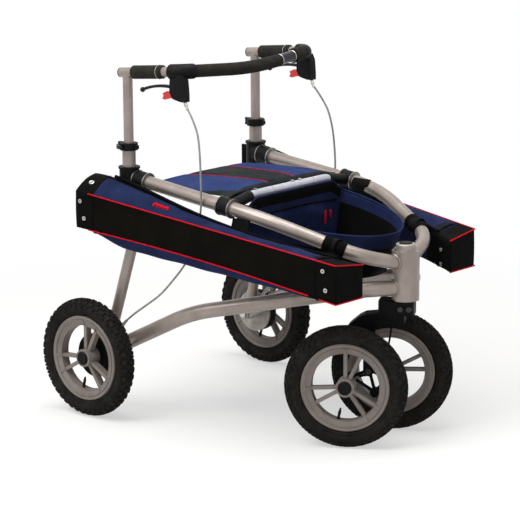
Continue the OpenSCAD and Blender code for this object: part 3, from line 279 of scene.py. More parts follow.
@dataclass(frozen=True)
class Finish:
    """A moulded or painted surface: two tones that mottle, an uneven gloss and a fine grain."""

    name: str
    tone: str
    second: str
    roughness: float
    spread: float = 0.08
    mottle: float = 60.0
    grain: float = 1500.0
    relief: float = 0.1
    depth: float = 0.0003
    metallic: float = 0.0
    coat: float = 0.0
    specular: float = 0.3

    def height(self, tree: Tree, place: Sock) -> Sock:
        """Fine relief of the surface."""
        return tree.noise(place, self.grain, 3.0)

    def colour(self, tree: Tree, place: Sock) -> Sock:
        """Colour over the surface."""
        share = tree.noise(place, self.mottle, 4.0).ramp(0.35, 0.65)
        return tree.blend(linear(self.tone), linear(self.second), share)

    def extra(self, tree: Tree, place: Sock) -> dict:
        """Further shader inputs of a special finish."""
        return {}

    @property
    def material(self) -> bpy.types.Material:
        """The finish's material, made at its first use.

        Returns:
            The material.
        """
        known = bpy.data.materials.get(self.name)
        if known is not None:
            return known
        made = bpy.data.materials.new(self.name)
        tree = Tree(made)
        place = tree.place()
        dull, shiny = min(1.0, self.roughness + self.spread), max(0.03, self.roughness - self.spread)
        tree.end("ShaderNodeOutputMaterial", tree.node("ShaderNodeBsdfPrincipled", None, {
            "Base Color": self.colour(tree, place),
            "Roughness": tree.noise(place, self.mottle * 3, 5.0).ramp(0.3, 0.7, shiny, dull),
            "Metallic": self.metallic, "Coat Weight": self.coat, "Specular IOR Level": self.specular,
            "Normal": tree.bump(self.height(tree, place), self.relief, self.depth), **self.extra(tree, place)}))
        return made


@dataclass(frozen=True)
class Brushed(Finish):
    """Metal with fine drawn lines along one axis."""

    lines: Point = (0.05, 1.0, 1.0)

    def height(self, tree: Tree, place: Sock) -> Sock:
        """Drawn lines."""
        return tree.noise(tree.stretched(place, self.lines), self.grain, 2.0)


@dataclass(frozen=True)
class Woven(Finish):
    """Plain-woven cloth with slubs and a worn nap."""

    relief: float = 0.35
    depth: float = 0.0008
    specular: float = 0.03
    pitch: float = 0.0016
    slub: float = 260.0

    def threads(self, tree: Tree, place: Sock) -> Sock:
        """Threads that pass over and under each other, from 0 to 1.

        Args:
            tree: The material's tree.
            place: Object coordinates.

        Returns:
            The height of the threads.
        """
        x, y, z = tree.axes(place)
        turn = 2 * math.pi / self.pitch
        return (x * turn).sine() * ((y + z) * turn).sine() * 0.5 + 0.5

    def height(self, tree: Tree, place: Sock) -> Sock:
        """Threads, and the creases of handled cloth."""
        return self.threads(tree, place) * 0.6 + tree.noise(place, self.slub, 4.0) * 0.8

    def worn(self, tree: Tree, place: Sock) -> Sock:
        """Where the cloth is faded, from 0 to 1."""
        return tree.noise(place, self.mottle, 5.0).ramp(0.35, 0.7)

    def colour(self, tree: Tree, place: Sock) -> Sock:
        """Threads with a painted highlight on their raised tops, and faded in places."""
        # painted highlight: the threads' raised tops take the paler tone; the faded patches are random tone
        share = self.threads(tree, place) * 0.35 + self.worn(tree, place) * 0.65
        return tree.blend(linear(self.tone), linear(self.second), share)


@dataclass(frozen=True)
class Netting(Woven):
    """Open net of knitted cells."""

    cell: float = 0.0042

    def extra(self, tree: Tree, place: Sock) -> dict:
        """Holes between the threads, as the shader's Alpha.

        Args:
            tree: The material's tree.
            place: Object coordinates.

        Returns:
            Alpha, by its input's name.
        """
        x, y, z = tree.axes(place)
        turn = math.pi / self.cell
        weave = abs(((x + y) * turn).sine()) * abs(((z * 1.2 + x - y) * turn).sine())
        return {"Alpha": weave.ramp(0.42, 0.5, 1.0, 0.0)}


@dataclass(frozen=True)
class Rubber(Finish):
    """Tyre rubber: moulding bloom and a little road dust."""

    dust: str = "3a352f"

    def colour(self, tree: Tree, place: Sock) -> Sock:
        """Black with brownish dust in patches."""
        share = tree.noise(place, self.mottle * 2.2, 6.0, 0.7).ramp(0.5, 0.8, 0.0, 0.55)
        return tree.blend(super().colour(tree, place), linear(self.dust), share)


@dataclass(frozen=True)
class Sewn(Woven):
    """Seat cloth with a dark band between two curved seams, and a dark hem with cut corners at the front."""

    band: str = "1e2122"
    band_second: str = "2b2f30"
    mid_x: float = AXLE_X + 0.23
    half: float = 0.062
    taper: float = 0.104
    hem_x: float = AXLE_X + 0.352
    corner_x: Pair = (AXLE_X + 0.28, AXLE_X + 0.345)
    corner_cut: float = 0.03
    corner_y: float = 0.2
    stitch_off: float = 0.0055
    stitch_half: float = 0.0009
    stitch_pitch: float = 0.0042
    stitch_gap: float = -0.35
    stitch_pull: float = 1.6

    def seam(self, x: Value) -> Value:
        """Distance of a seam from the middle of the seat."""
        return self.half - (x - self.mid_x) * self.taper

    def edge(self, tree: Tree, place: Sock) -> Sock:
        """How far a point lies outside the band's seams."""
        x, y, _ = tree.axes(place)
        return abs(y) - self.seam(x)

    def colour(self, tree: Tree, place: Sock) -> Sock:
        """Navy outside the seams, black between them and along the front edge.

        Args:
            tree: The material's tree.
            place: Object coordinates.

        Returns:
            The colour.
        """
        outer = super().colour(tree, place)
        inner = tree.blend(linear(self.band), linear(self.band_second), self.worn(tree, place))
        x, y, _ = tree.axes(place)
        corner = abs(y) + x.ramp(*self.corner_x, 0.0, self.corner_cut) > self.corner_y
        hem = tree.math("MAXIMUM", x > self.hem_x, corner)
        return tree.blend(outer, inner, tree.math("MAXIMUM", hem, self.edge(tree, place) < 0.0))

    def height(self, tree: Tree, place: Sock) -> Sock:
        """Weave, with a row of stitches on each side of a seam.

        Args:
            tree: The material's tree.
            place: Object coordinates.

        Returns:
            The height.
        """
        x, _, _ = tree.axes(place)
        near = abs(abs(self.edge(tree, place)) - self.stitch_off).ramp(0.0, self.stitch_half, 1.0, 0.0)
        dashes = (x * (2 * math.pi / self.stitch_pitch)).sine() > self.stitch_gap
        return super().height(tree, place) - near * dashes * self.stitch_pull


SILVER = Brushed("satin_silver_paint", "9a8f88", "8b8079", roughness=0.34, spread=0.06, mottle=16.0, grain=1800.0,
                 relief=0.06, depth=0.0002, metallic=0.5, coat=0.12, specular=0.4)
BRIGHT = Brushed("bright_anodised_tube", "c3c4cc", "b4b5bf", roughness=0.3, spread=0.06, mottle=16.0, grain=1800.0,
                 relief=0.06, depth=0.0002, metallic=0.3, coat=0.12, specular=0.4)
STEEL = Brushed("plated_steel", "cbc9c5", "aeaca8", roughness=0.24, spread=0.1, mottle=30.0, grain=2200.0,
                depth=0.0002, metallic=1.0)
CAST = Finish("cast_alloy", "a8a29b", "8f8983", roughness=0.5, mottle=40.0, grain=900.0, relief=0.25, metallic=0.5)
ZINC = Finish("dull_zinc", "8b8986", "75736f", roughness=0.38, metallic=0.8)
BOLT = Finish("blackened_bolt", "3b3a38", "2d2c2b", roughness=0.42, metallic=0.5)
BRASS = Finish("brass_snap_eye", "7d6048", "644a36", roughness=0.42, metallic=0.4)
SHEATH = Finish("grey_cable_sheath", "8d8d8b", "7b7b79", roughness=0.42)
PLASTIC = Finish("moulded_black_plastic", "0b0b0b", "121212", roughness=0.5, spread=0.1, mottle=30.0, relief=0.2,
                 specular=0.1)
LEVER = Finish("lever_black_plastic", "0e0e0f", "151516", roughness=0.36, mottle=30.0, relief=0.12, specular=0.2)
COATED = Finish("black_powder_coat", "060606", "0c0c0c", roughness=0.5, spread=0.1, mottle=40.0, grain=1900.0,
                relief=0.25, specular=0.08)
GREY_RIM = Finish("grey_rim_plastic", "7f7771", "716964", roughness=0.5, mottle=18.0, grain=1300.0, relief=0.18)
FOAM = Finish("closed_foam", "24221e", "2e2c28", roughness=0.85, spread=0.06, mottle=40.0, grain=1100.0, relief=0.5,
              depth=0.0006, specular=0.08)
GLOSS = Finish("glossy_navy_sleeve", "0b0f1c", "121828", roughness=0.2, spread=0.06, mottle=25.0, grain=900.0,
               relief=0.05, coat=0.1, specular=0.25)
RED = Finish("red_plastic", "d01014", "b80c10", roughness=0.34, mottle=40.0, grain=1200.0, relief=0.08, coat=0.05,
             specular=0.12)
LINING = Finish("brake_lining", "6a4a34", "543826", roughness=0.9, spread=0.05, mottle=120.0, grain=900.0, relief=0.5)
TYRE = Rubber("tyre_rubber", "141211", "1d1b18", roughness=0.78, spread=0.1, mottle=26.0, grain=700.0, relief=0.35,
              depth=0.0006, specular=0.1)
NAVY = Woven("navy_nylon", "171e3a", "252e52", roughness=0.7, mottle=14.0)
BLACK = Woven("black_nylon", "080808", "11100f", roughness=0.75, mottle=14.0)
PANEL = Woven("brown_black_panel", "0a0907", "12100c", roughness=0.78, mottle=16.0, relief=0.3, depth=0.0006)
PIPING = Woven("red_piping", "c8121e", "ab0d17", roughness=0.6, relief=0.3, depth=0.0005, specular=0.05, pitch=0.0012)
WEBBING = Woven("black_webbing", "0a0a0a", "131313", roughness=0.68, mottle=40.0, relief=0.5, depth=0.0009,
                specular=0.05, pitch=0.0022)
NET = Netting("black_net", "090a0c", "101114", roughness=0.6, mottle=30.0, relief=0.3, depth=0.0003, specular=0.05)
SEAT = Sewn("padded_seat_nylon", "27345f", "323f6e", roughness=0.68, mottle=16.0)

SLOT_FINISH = {
    "frame_paint": SILVER, "black_plastic": PLASTIC, "bright_steel": STEEL, "navy_fabric": NAVY,
    "seat_fabric": SEAT, "mesh_fabric": NET, "webbing": WEBBING, "tyre": TYRE, "rim_plastic": GREY_RIM,
    "black_metal": COATED, "foam": FOAM, "gloss_navy": GLOSS, "red_plastic": RED, "cable_grey": SHEATH,
    "lining": LINING,
}
NODE_FINISH = {
    "seat_cross_tube": BRIGHT, "collar_rings": ZINC, "fork_bolts": BOLT, "brake_plates": CAST, "head_cap": CAST,
}


def linked(name: str, data: bpy.types.ID) -> Object:
    """New object with that data, linked to the scene.

    Args:
        name: The object's name.
        data: Its mesh, curve, lamp or camera.

    Returns:
        The object.
    """
    obj = bpy.data.objects.new(name, data)
    bpy.context.scene.collection.objects.link(obj)
    return obj


def mesh_of(bm: BMesh, name: str) -> Mesh:
    """Mesh made from a bmesh, which is freed.

    Args:
        bm: The bmesh.
        name: The mesh's name.

    Returns:
        The mesh.
    """
    mesh = bpy.data.meshes.new(name)
    bm.to_mesh(mesh)
    bm.free()
    return mesh


def absorb(bm: BMesh, mesh: Mesh) -> None:
    """Adds a mesh to a bmesh and removes it."""
    bm.from_mesh(mesh)
    bpy.data.meshes.remove(mesh)


def piece(name: str, source: Union[BMesh, Mesh], slot: str, *finishes: Finish, body: str | None = "frame",
          shade: bool = True) -> Object:
    """Makes an object from a mesh.

    Args:
        name: The piece's name.
        source: A bmesh, which is freed, or a mesh.
        slot: Not used.
        finishes: Finishes in the order of the faces' material numbers.
        body: The body that it rides on, or None where that comes later.
        shade: Whether its faces are shaded smooth.

    Returns:
        The linked object.
    """
    mesh = mesh_of(source, name) if isinstance(source, BMesh) else source
    mesh.name = name
    for finish in finishes:
        mesh.materials.append(finish.material)
    mesh.polygons.foreach_set("use_smooth", [shade] * len(mesh.polygons))
    obj = linked(name, mesh)
    if body:
        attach(obj, body)
    LOG.info("%s: %d faces", name, len(mesh.polygons))
    return obj


def soften(obj: Object) -> None:
    """Subdivides a piece once."""
    soft = obj.modifiers.new("soft", "SUBSURF")
    soft.levels = soft.render_levels = 1


def bevel(bm: BMesh, edges: Sequence[BMEdge], offset: float, segments: int = 2) -> None:
    """Rounds edges."""
    bmesh.ops.bevel(bm, geom=edges, offset=offset, affect="EDGES", segments=segments, profile=0.5, material=-1)


def outward(bm: BMesh) -> None:
    """Turns all faces outwards."""
    bmesh.ops.recalc_face_normals(bm, faces=bm.faces[:])


def facing(place: Vector, way: Vector) -> Matrix:
    """Matrix that puts local Z along a direction at a place."""
    return Matrix.Translation(place) @ way.to_track_quat("Z", "Y").to_matrix().to_4x4()


def turned(bm: BMesh, where: Matrix, foot: float, top: float, depth: float, sides: int) -> None:
    """Adds a capped round step with its middle and its axis at a matrix.

    Args:
        bm: The bmesh that it goes into.
        where: Its middle, with its axis along local Z.
        foot: Radius at its foot.
        top: Radius at its top.
        depth: Length along its axis.
        sides: Number of its sides.
    """
    bmesh.ops.create_cone(bm, cap_ends=True, segments=sides, radius1=foot, radius2=top, depth=depth, matrix=where)


def circle(centre: Vector, way: Vector, radius: float) -> list[Vector]:
    """Points of a circle round an axis.

    Args:
        centre: Middle of the circle.
        way: Its axis.
        radius: Its radius.

    Returns:
        The points.
    """
    side = way.orthogonal().normalized()
    up = way.cross(side)
    return [centre + (side * math.cos(a) + up * math.sin(a)) * radius for a in turns(48)]


def tube_mesh(runs: Sequence[Sequence[Vector]], radius: float, rounds: int = 2, closed: bool = False) -> Mesh:
    """Round tubes along lines of points, with filled ends.

    Args:
        runs: One list of points for each tube.
        radius: Radius of the tubes.
        rounds: Resolution of their section.
        closed: Whether each line closes on itself.

    Returns:
        One mesh with all the tubes.
    """
    curve = bpy.data.curves.new("run", "CURVE")
    curve.dimensions = "3D"
    curve.bevel_depth = radius
    curve.bevel_resolution = rounds
    curve.use_fill_caps = not closed
    for run in runs:
        spline = curve.splines.new("POLY")
        spline.points.add(len(run) - 1)
        spline.use_cyclic_u = closed
        for point, place in zip(spline.points, run):
            point.co = (*place, 1.0)
    obj = linked("run", curve)
    mesh = bpy.data.meshes.new_from_object(obj.evaluated_get(bpy.context.evaluated_depsgraph_get()))
    bpy.data.objects.remove(obj)
    bpy.data.curves.remove(curve)
    return mesh


def curve_through(points: Sequence[Vector], steps: int) -> list[Vector]:
    """Smooth line through points.

    Args:
        points: Points that the line meets.
        steps: Number of steps between each two.

    Returns:
        Points along the line.
    """
    last = len(points) - 1
    line: list[Vector] = []
    for i in range(last):
        a, b, c, d = (points[max(0, min(last, i + k))] for k in (-1, 0, 1, 2))
        for t in shares(steps)[:-1]:
            line.append(b + (c - a) * (t / 2) + (2 * a - 5 * b + 4 * c - d) * (t * t / 2)
                        + (3 * b - a - 3 * c + d) * (t ** 3 / 2))
    return line + [points[last]]


def bent_line(points: Sequence[Vector], radii: Sequence[float], step: float = 0.006) -> list[Vector]:
    """Line along straight runs and round bends, as a tube bender makes it.

    Args:
        points: Ends and corners of the line.
        radii: Radius of the bend at each corner.
        step: Distance between points of the line.

    Returns:
        Points along the line.
    """
    corners = [points[0]]
    for before, corner, after, radius in zip(points, points[1:], points[2:], radii):
        a, b = (before - corner).normalized(), (after - corner).normalized()
        half = a.angle(b) / 2
        centre = corner + (a + b).normalized() * (radius / math.sin(half))
        start, end = (corner + d * (radius / math.tan(half)) - centre for d in (a, b))
        count = max(2, int((math.pi - 2 * half) * radius / step))
        corners += [centre + start.normalized().slerp(end.normalized(), s) * radius for s in shares(count)]
    corners.append(points[-1])
    line = [corners[0]]
    for a, b in zip(corners, corners[1:]):
        line += [a.lerp(b, s) for s in shares(max(1, int((b - a).length / step)))[1:]]
    return line


def pushed(bm: BMesh, row: Sequence[BMVert], edges: Sequence[BMEdge], places: Sequence[Vector]) -> list[BMVert]:
    """Extrudes a row of edges to new places.

    Args:
        bm: The bmesh.
        row: Vertices of the row.
        edges: Edges of the row.
        places: Where the new vertices go.

    Returns:
        The new vertices, in the row's order.
    """
    fresh = {g for g in bmesh.ops.extrude_edge_only(bm, edges=edges)["geom"] if isinstance(g, BMVert)}
    moved = [next(e.other_vert(v) for e in v.link_edges if e.other_vert(v) in fresh) for v in row]
    for vert, place in zip(moved, places):
        vert.co = place
    return moved


def ribbon(path: Sequence[Vector], width: float, thickness: float) -> BMesh:
    """Flat strap along a path, with its width along X, made by extruding its end from point to point.

    Args:
        path: Points along the middle of the strap.
        width: Width of the strap.
        thickness: Thickness of the strap.

    Returns:
        The strap's bmesh.
    """
    bm = bmesh.new()
    offsets = [AHEAD * (width / 2) * s for s in (-1, -0.5, 0, 0.5, 1)]
    row = [bm.verts.new(path[0] + offset) for offset in offsets]
    for place in path[1:]:
        edges = [bm.edges.get(pair) or bm.edges.new(pair) for pair in zip(row, row[1:])]
        row = pushed(bm, row, edges, [place + offset for offset in offsets])
    outward(bm)
    bmesh.ops.solidify(bm, geom=bm.faces[:], thickness=thickness)
    return bm


def loop_edges(bm: BMesh, ring: Sequence[Vector]) -> list[BMEdge]:
    """Adds a closed loop of edges through the points of a ring."""
    verts = [bm.verts.new(p) for p in ring]
    return [bm.edges.new((v, verts[(i + 1) % len(verts)])) for i, v in enumerate(verts)]


def loft(rings: Sequence[Sequence[Vector]], tint: Callable[[int, int], int]) -> tuple[BMesh, list, list]:
    """Skin over rings of equal counts, made by extruding one ring to the next.

    Args:
        rings: Rings of points, in order.
        tint: Material number by ring number and place in the ring.

    Returns:
        The bmesh, and the edges of its first and last rings.
    """
    bm = bmesh.new()
    first = edges = loop_edges(bm, rings[0])
    ring = list(bm.verts)
    count = len(ring)
    for k, places in enumerate(rings[1:]):
        moved = pushed(bm, ring, edges, places)
        for i in range(count):
            j = (i + 1) % count
            bm.faces.get((ring[i], ring[j], moved[j], moved[i])).material_index = tint(k, i)
        ring = moved
        edges = [bm.edges.get((v, ring[(i + 1) % count])) for i, v in enumerate(ring)]
    return bm, first, edges


@dataclass
class Studio:
    """Camera, floor and soft lamps."""

    target: Point = (-0.0499, 0.0, 0.3856)
    azimuth: float = 41.12
    elevation: float = 12.56
    distance: float = 6.25
    roll: float = -0.37
    lens: float = 169.34
    sensor: float = 36.0
    floor_size: float = 30.0
    floor_tones: tuple[str, str] = ("f4f3f1", "efeeec")
    near_glow: float = 0.52
    glow_reach: Pair = (0.8, 2.0)
    sky_level: float = 0.24
    lamps: tuple = (("key", (-0.7, -2.8, 3.8), 2.6, 125.0), ("fill", (3.4, -2.6, 2.4), 2.6, 30.0),
                    ("top", (0.3, 0.0, 4.2), 3.0, 135.0))

    def build(self) -> None:
        """Builds the camera, floor, world and lamps."""
        self.camera()
        self.floor()
        self.world()
        for lamp in self.lamps:
            self.lamp(*lamp)
        bpy.context.scene.view_settings.view_transform = "Standard"

    def camera(self) -> None:
        """Camera at the photograph's viewing angle."""
        a, e = math.radians(self.azimuth), math.radians(self.elevation)
        back = Vector((math.sin(a) * math.cos(e), -math.cos(a) * math.cos(e), math.sin(e)))
        data = bpy.data.cameras.new("camera")
        data.lens, data.sensor_width = self.lens, self.sensor
        cam = linked("camera", data)
        cam.location = Vector(self.target) + back * self.distance
        turn = (-back).to_track_quat("-Z", "Y").to_matrix() @ Matrix.Rotation(math.radians(self.roll), 3, "Z")
        cam.rotation_euler = turn.to_euler()
        bpy.context.scene.camera = cam

    def floor(self) -> None:
        """Pale floor that glows white to the camera and keeps the shadow."""
        bm = bmesh.new()
        bmesh.ops.create_grid(bm, x_segments=1, y_segments=1, size=self.floor_size)
        mesh = mesh_of(bm, "floor")
        material = bpy.data.materials.new("pale_floor")
        tree = Tree(material)
        place = tree.place()
        shade = tree.blend(*map(linear, self.floor_tones), tree.noise(place, 1.5, 3.0))
        diffuse = tree.node("ShaderNodeBsdfDiffuse", None, {"Color": shade})
        glow = tree.node("ShaderNodeEmission", None, {"Color": WHITE, "Strength": 1.0})
        x, y, _ = tree.axes(place)
        share = tree.math("SQRT", x * x + y * y).ramp(*self.glow_reach, self.near_glow, 1.0) * tree.seen()
        tree.end("ShaderNodeOutputMaterial", tree.node("ShaderNodeMixShader", None, {0: share, 1: diffuse, 2: glow}))
        mesh.materials.append(material)
        linked("floor", mesh)

    def world(self) -> None:
        """White surroundings, at a plain level for the light that they give."""
        world = bpy.data.worlds.new("surroundings")
        bpy.context.scene.world = world
        tree = Tree(world)
        level = tree.seen().ramp(0.0, 1.0, self.sky_level, 1.0)
        tree.end("ShaderNodeOutputWorld", tree.node("ShaderNodeBackground", None, {0: WHITE, 1: level}))

    def lamp(self, name: str, place: Point, size: float, power: float) -> None:
        """Square soft lamp that faces the object.

        Args:
            name: The lamp's name.
            place: Where it stands.
            size: Length of its sides.
            power: Its power in watts.
        """
        data = bpy.data.lights.new(name, "AREA")
        data.size, data.energy = size, power
        obj = linked(name, data)
        obj.location = place
        obj.rotation_euler = (Vector(self.target) - Vector(place)).to_track_quat("-Z", "Y").to_euler()


@dataclass
class Cables:
    """The two brake cables, from the brake brackets down to the brake arms. The route is in millimetres."""

    route: tuple[Point, ...] = (
        (252.5, 242, 818.6), (260, 242, 804), (279, 245, 780), (300, 250, 745), (311, 255, 700), (316, 258, 650),
        (318, 259, 600), (316, 259, 560), (308, 260, 515), (294, 262, 470), (270, 268, 420), (235, 275, 375),
        (195, 280, 333), (150, 283, 300), (110, 285, 272), (85, 286.4, 252), (64.2, 286.4, 231.6))
    radius: float = 0.0025
    steps: int = 4
    low_z: float = 0.2316
    high_z: float = 0.8186
    nose_len: float = 0.020
    foot_len: float = 0.026
    sleeve_steps: tuple[Pair, ...] = ((0.25, 0.0046), (0.75, 0.0037))
    sleeve_round: float = 0.0006

    def build(self) -> None:
        """Builds both cables with their end ferrules."""
        for side in Side:
            line = curve_through([at(x, side.value * y, z) for x, y, z in self.route], self.steps)
            length = sum((b - a).length for a, b in zip(line, line[1:]))
            tube = tube_mesh([line], self.radius, 3)
            cable = piece(f"brake_cable_{side.word}", tube, "cable_grey", SHEATH, body=None)
            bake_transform(cable)
            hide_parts(f"cable_{side.word}")
            self.ferrule(f"cable_nose_{side.word}", line[0], line[2] - line[0], self.nose_len, "handle")
            self.ferrule(f"cable_foot_{side.word}", line[-1], line[-4] - line[-1], self.foot_len, "frame")
            tuple(line[0])
            [tuple(p) for p in line]

    def ferrule(self, name: str, place: Vector, run: Vector, length: float, body: str) -> None:
        """Stepped metal sleeve at a cable's end.

        Args:
            name: The piece's name.
            place: The cable's end.
            run: Direction of the cable there.
            length: Length of the sleeve.
            body: The body that it rides on.
        """
        way = run.normalized()
        bm = bmesh.new()
        for share, radius in self.sleeve_steps:
            turned(bm, facing(place + way * length * share, way), radius, radius, length / 2, 20)
        bevel(bm, [e for e in bm.edges if e.calc_face_angle(0) > 1.0], self.sleeve_round)
        piece(name, bm, "bright_steel", STEEL, body=body, shade=False)


@dataclass
class Wheels:
    """Four tyres with knobbly treads, moulded sidewalls and valves, and the ribs and beads of the rims."""

    radius: float = 0.1525
    half_width: float = 0.0235
    wall_in: float = 0.0012
    wall_rib: tuple[Pair, ...] = ((0.1186, 0.0197), (0.1176, 0.0204), (0.1160, 0.0201), (0.1150, 0.0187),
                                  (0.1120, 0.0166))
    flange_r: float = 0.1098
    bead_r: float = 0.1014
    bead_half: float = 0.0135
    steps: int = 132
    knobs: int = 44
    knob_height: float = 0.0036
    knob_taper: float = 0.78
    knob_round: float = 0.09
    # Rows of blocks: lean from the crown in degrees, stagger, then height, length and width.
    rows: tuple = ((0, 0.5, 0.0048, 0.0125, 0.0098), (17, 0.0, 0.0048, 0.0115, 0.0088),
                   (45, 0.5, 0.0052, 0.0105, 0.0122), (69, 0.0, 0.0040, 0.0070, 0.0080))
    rim_bore: float = 0.085
    valve_len: float = 0.028
    # Steps of a valve: start, length and radius.
    valve_steps: tuple[Point, ...] = ((0.0, 0.020, 0.0028), (0.006, 0.010, 0.0040), (0.018, 0.010, 0.0040))
    valve_taper: float = 0.86
    rear_valves: Pair = (-77, -77)
    front_valves: Pair = (-77, -15)
    cone: tuple[Pair, Pair] = ((0.085, 0.0114), (0.0985, 0.018))
    rim_bead: float = 0.0012
    rib_w: float = 0.0058
    rib_h: float = 0.0044
    spokes: int = 3
    spoke_half: float = math.radians(13)
    sharp: float = math.radians(38)

    @property
    def mid(self) -> float:
        """Radius of the middle of the tyre's section."""
        return self.radius - self.half_width

    @property
    def crown(self) -> float:
        """Reach of the carcass towards the tread."""
        return self.half_width - self.knob_height

    @property
    def wall(self) -> float:
        """Reach of the carcass to the side."""
        return self.half_width - self.wall_in

    def build(self) -> None:
        """Builds the four tyres and rim trims and puts them on their wheels."""
        upright = Matrix(((-1, 0, 0, 0), (0, 0, 1, 0), (0, 1, 0, 0), (0, 0, 0, 1)))
        flip, plain = Matrix.Diagonal((1, -1, 1, 1)), Matrix.Identity(4)
        steer = Matrix.Rotation(SWIVEL, 4, "Z")
        joints = {j["name"]: Vector(j["pos_m"]) for j in frame["joints"] if "pos_m" in j}
        for unit, turn, valves in (("rear", plain, self.rear_valves), ("front", steer, self.front_valves)):
            for side, degrees in zip((Side.RIGHT, Side.LEFT), valves):
                wheel = f"{unit}_wheel_{side.word}"
                hand = flip if side is Side.RIGHT else plain
                stance = Matrix.Translation(joints[f"{wheel}_spin"]) @ turn @ hand @ upright
                valve = math.radians(degrees)
                tyre = self.stand(f"{unit}_knobbly_tyre_{side.word}", self.mesh(valve), stance, TYRE, "tyre", wheel)
                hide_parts(f"{unit}_tyre_{side.word}")
                self.stand(f"{unit}_rim_trim_{side.word}", self.trim(valve), stance, GREY_RIM, "rim_plastic", wheel)

    def stand(self, name: str, bm: BMesh, stance: Matrix, finish: Finish, slot: str, wheel: str) -> Object:
        """Piece put in a wheel's place, with its sharp edges kept.

        Args:
            name: The piece's name.
            bm: Its bmesh round local Z.
            stance: Matrix of the wheel.
            finish: Its finish.
            slot: The record's material slot.
            wheel: The body that it rides on.

        Returns:
            The piece.
        """
        bmesh.ops.transform(bm, matrix=stance, verts=bm.verts[:])
        outward(bm)
        obj = piece(name, bm, slot, finish, body=wheel)
        obj.modifiers.new("edges", "EDGE_SPLIT").split_angle = self.sharp
        return obj

    def trim(self, valve: float) -> BMesh:
        """Beads round the rim's faces, and the ribs that carry each spoke on over them.

        Args:
            valve: Angle of the valve from local X, opposite a spoke.

        Returns:
            The trim's bmesh.
        """
        bm = bmesh.new()
        (r1, z1), (r2, z2) = self.cone
        slope = math.atan2(z2 - z1, r2 - r1)
        size = Matrix.Diagonal(((r2 - r1) / math.cos(slope), self.rib_w, self.rib_h, 1))
        for face in (1, -1):
            for radius, height in self.cone:
                ring = [Vector((radius * math.cos(a), radius * math.sin(a), face * height)) for a in turns(96)]
                absorb(bm, tube_mesh([ring], self.rim_bead, closed=True))
            for spoke in turns(self.spokes):
                for edge in (-1, 1):
                    where = (Matrix.Rotation(valve + math.pi + spoke + edge * self.spoke_half, 4, "Z")
                             @ Matrix.Translation(((r1 + r2) / 2, 0, face * (z1 + z2) / 2))
                             @ Matrix.Rotation(-face * slope, 4, "Y"))
                    bmesh.ops.create_cube(bm, size=1.0, matrix=where @ size)
        return bm

    def section(self) -> list[Vector]:
        """Closed section of the carcass in the plane of local X and Z.

        Returns:
            Points of the section.
        """
        half = [(self.mid + self.crown * math.cos(a), self.wall * math.sin(a))
                for a in map(math.radians, range(0, 121, 8))]
        half += [*self.wall_rib, (self.flange_r, self.bead_half), (self.bead_r, self.bead_half)]
        ring = half + [(r, -z) for r, z in reversed(half[1:])]
        return [Vector((r, 0, z)) for r, z in ring]

    def knob(self) -> Mesh:
        """One tread block: a tapered, bevelled box round the origin, with its top along +X.

        Returns:
            The block's mesh.
        """
        bm = bmesh.new()
        bmesh.ops.create_cube(bm, size=1.0)
        top = [v for v in bm.verts if v.co.x > 0]
        bmesh.ops.scale(bm, vec=(1, self.knob_taper, self.knob_taper), verts=top)
        bevel(bm, [e for e in bm.edges if all(v in top for v in e.verts)], self.knob_round, 1)
        return mesh_of(bm, "knob")

    def mesh(self, valve: float) -> BMesh:
        """Tyre round local Z.

        Args:
            valve: Angle of the valve from local X.

        Returns:
            The tyre's bmesh.
        """
        bm = bmesh.new()
        bmesh.ops.spin(bm, geom=loop_edges(bm, self.section()), cent=(0, 0, 0), axis=(0, 0, 1), angle=2 * math.pi,
                       steps=self.steps, use_merge=True)
        absorb(bm, self.tread())
        for start, length, radius in self.valve_steps:
            where = (Matrix.Rotation(valve, 4, "Z")
                     @ Matrix.Translation((self.rim_bore - self.valve_len + start + length / 2, 0, 0))
                     @ Matrix.Rotation(math.pi / 2, 4, "Y"))
            turned(bm, where, radius * self.valve_taper, radius, length, 16)
        return bm

    def tread(self) -> Mesh:
        """All the tread blocks, in staggered rows from shoulder to shoulder.

        Returns:
            The blocks' mesh.
        """
        bm = bmesh.new()
        knob = self.knob()
        for lean, stagger, tall, long, wide in self.rows:
            for a in map(math.radians, (lean, -lean) if lean else (lean,)):
                reach = self.crown * math.hypot(math.cos(a), math.sin(a) * self.wall / self.crown)
                tilt = Matrix.Translation((self.mid, 0, 0)) @ Matrix.Rotation(-a, 4, "Y")
                size = (Matrix.Translation((reach + self.knob_height - tall / 2, 0, 0))
                        @ Matrix.Diagonal((tall, long, wide, 1)))
                for k in range(self.knobs):
                    start = len(bm.verts)
                    bm.from_mesh(knob)
                    bm.verts.ensure_lookup_table()
                    spin = Matrix.Rotation(2 * math.pi * (k + stagger) / self.knobs, 4, "Z")
                    bmesh.ops.transform(bm, matrix=spin @ tilt @ size, verts=bm.verts[start:])
        bpy.data.meshes.remove(knob)
        return mesh_of(bm, "tread")


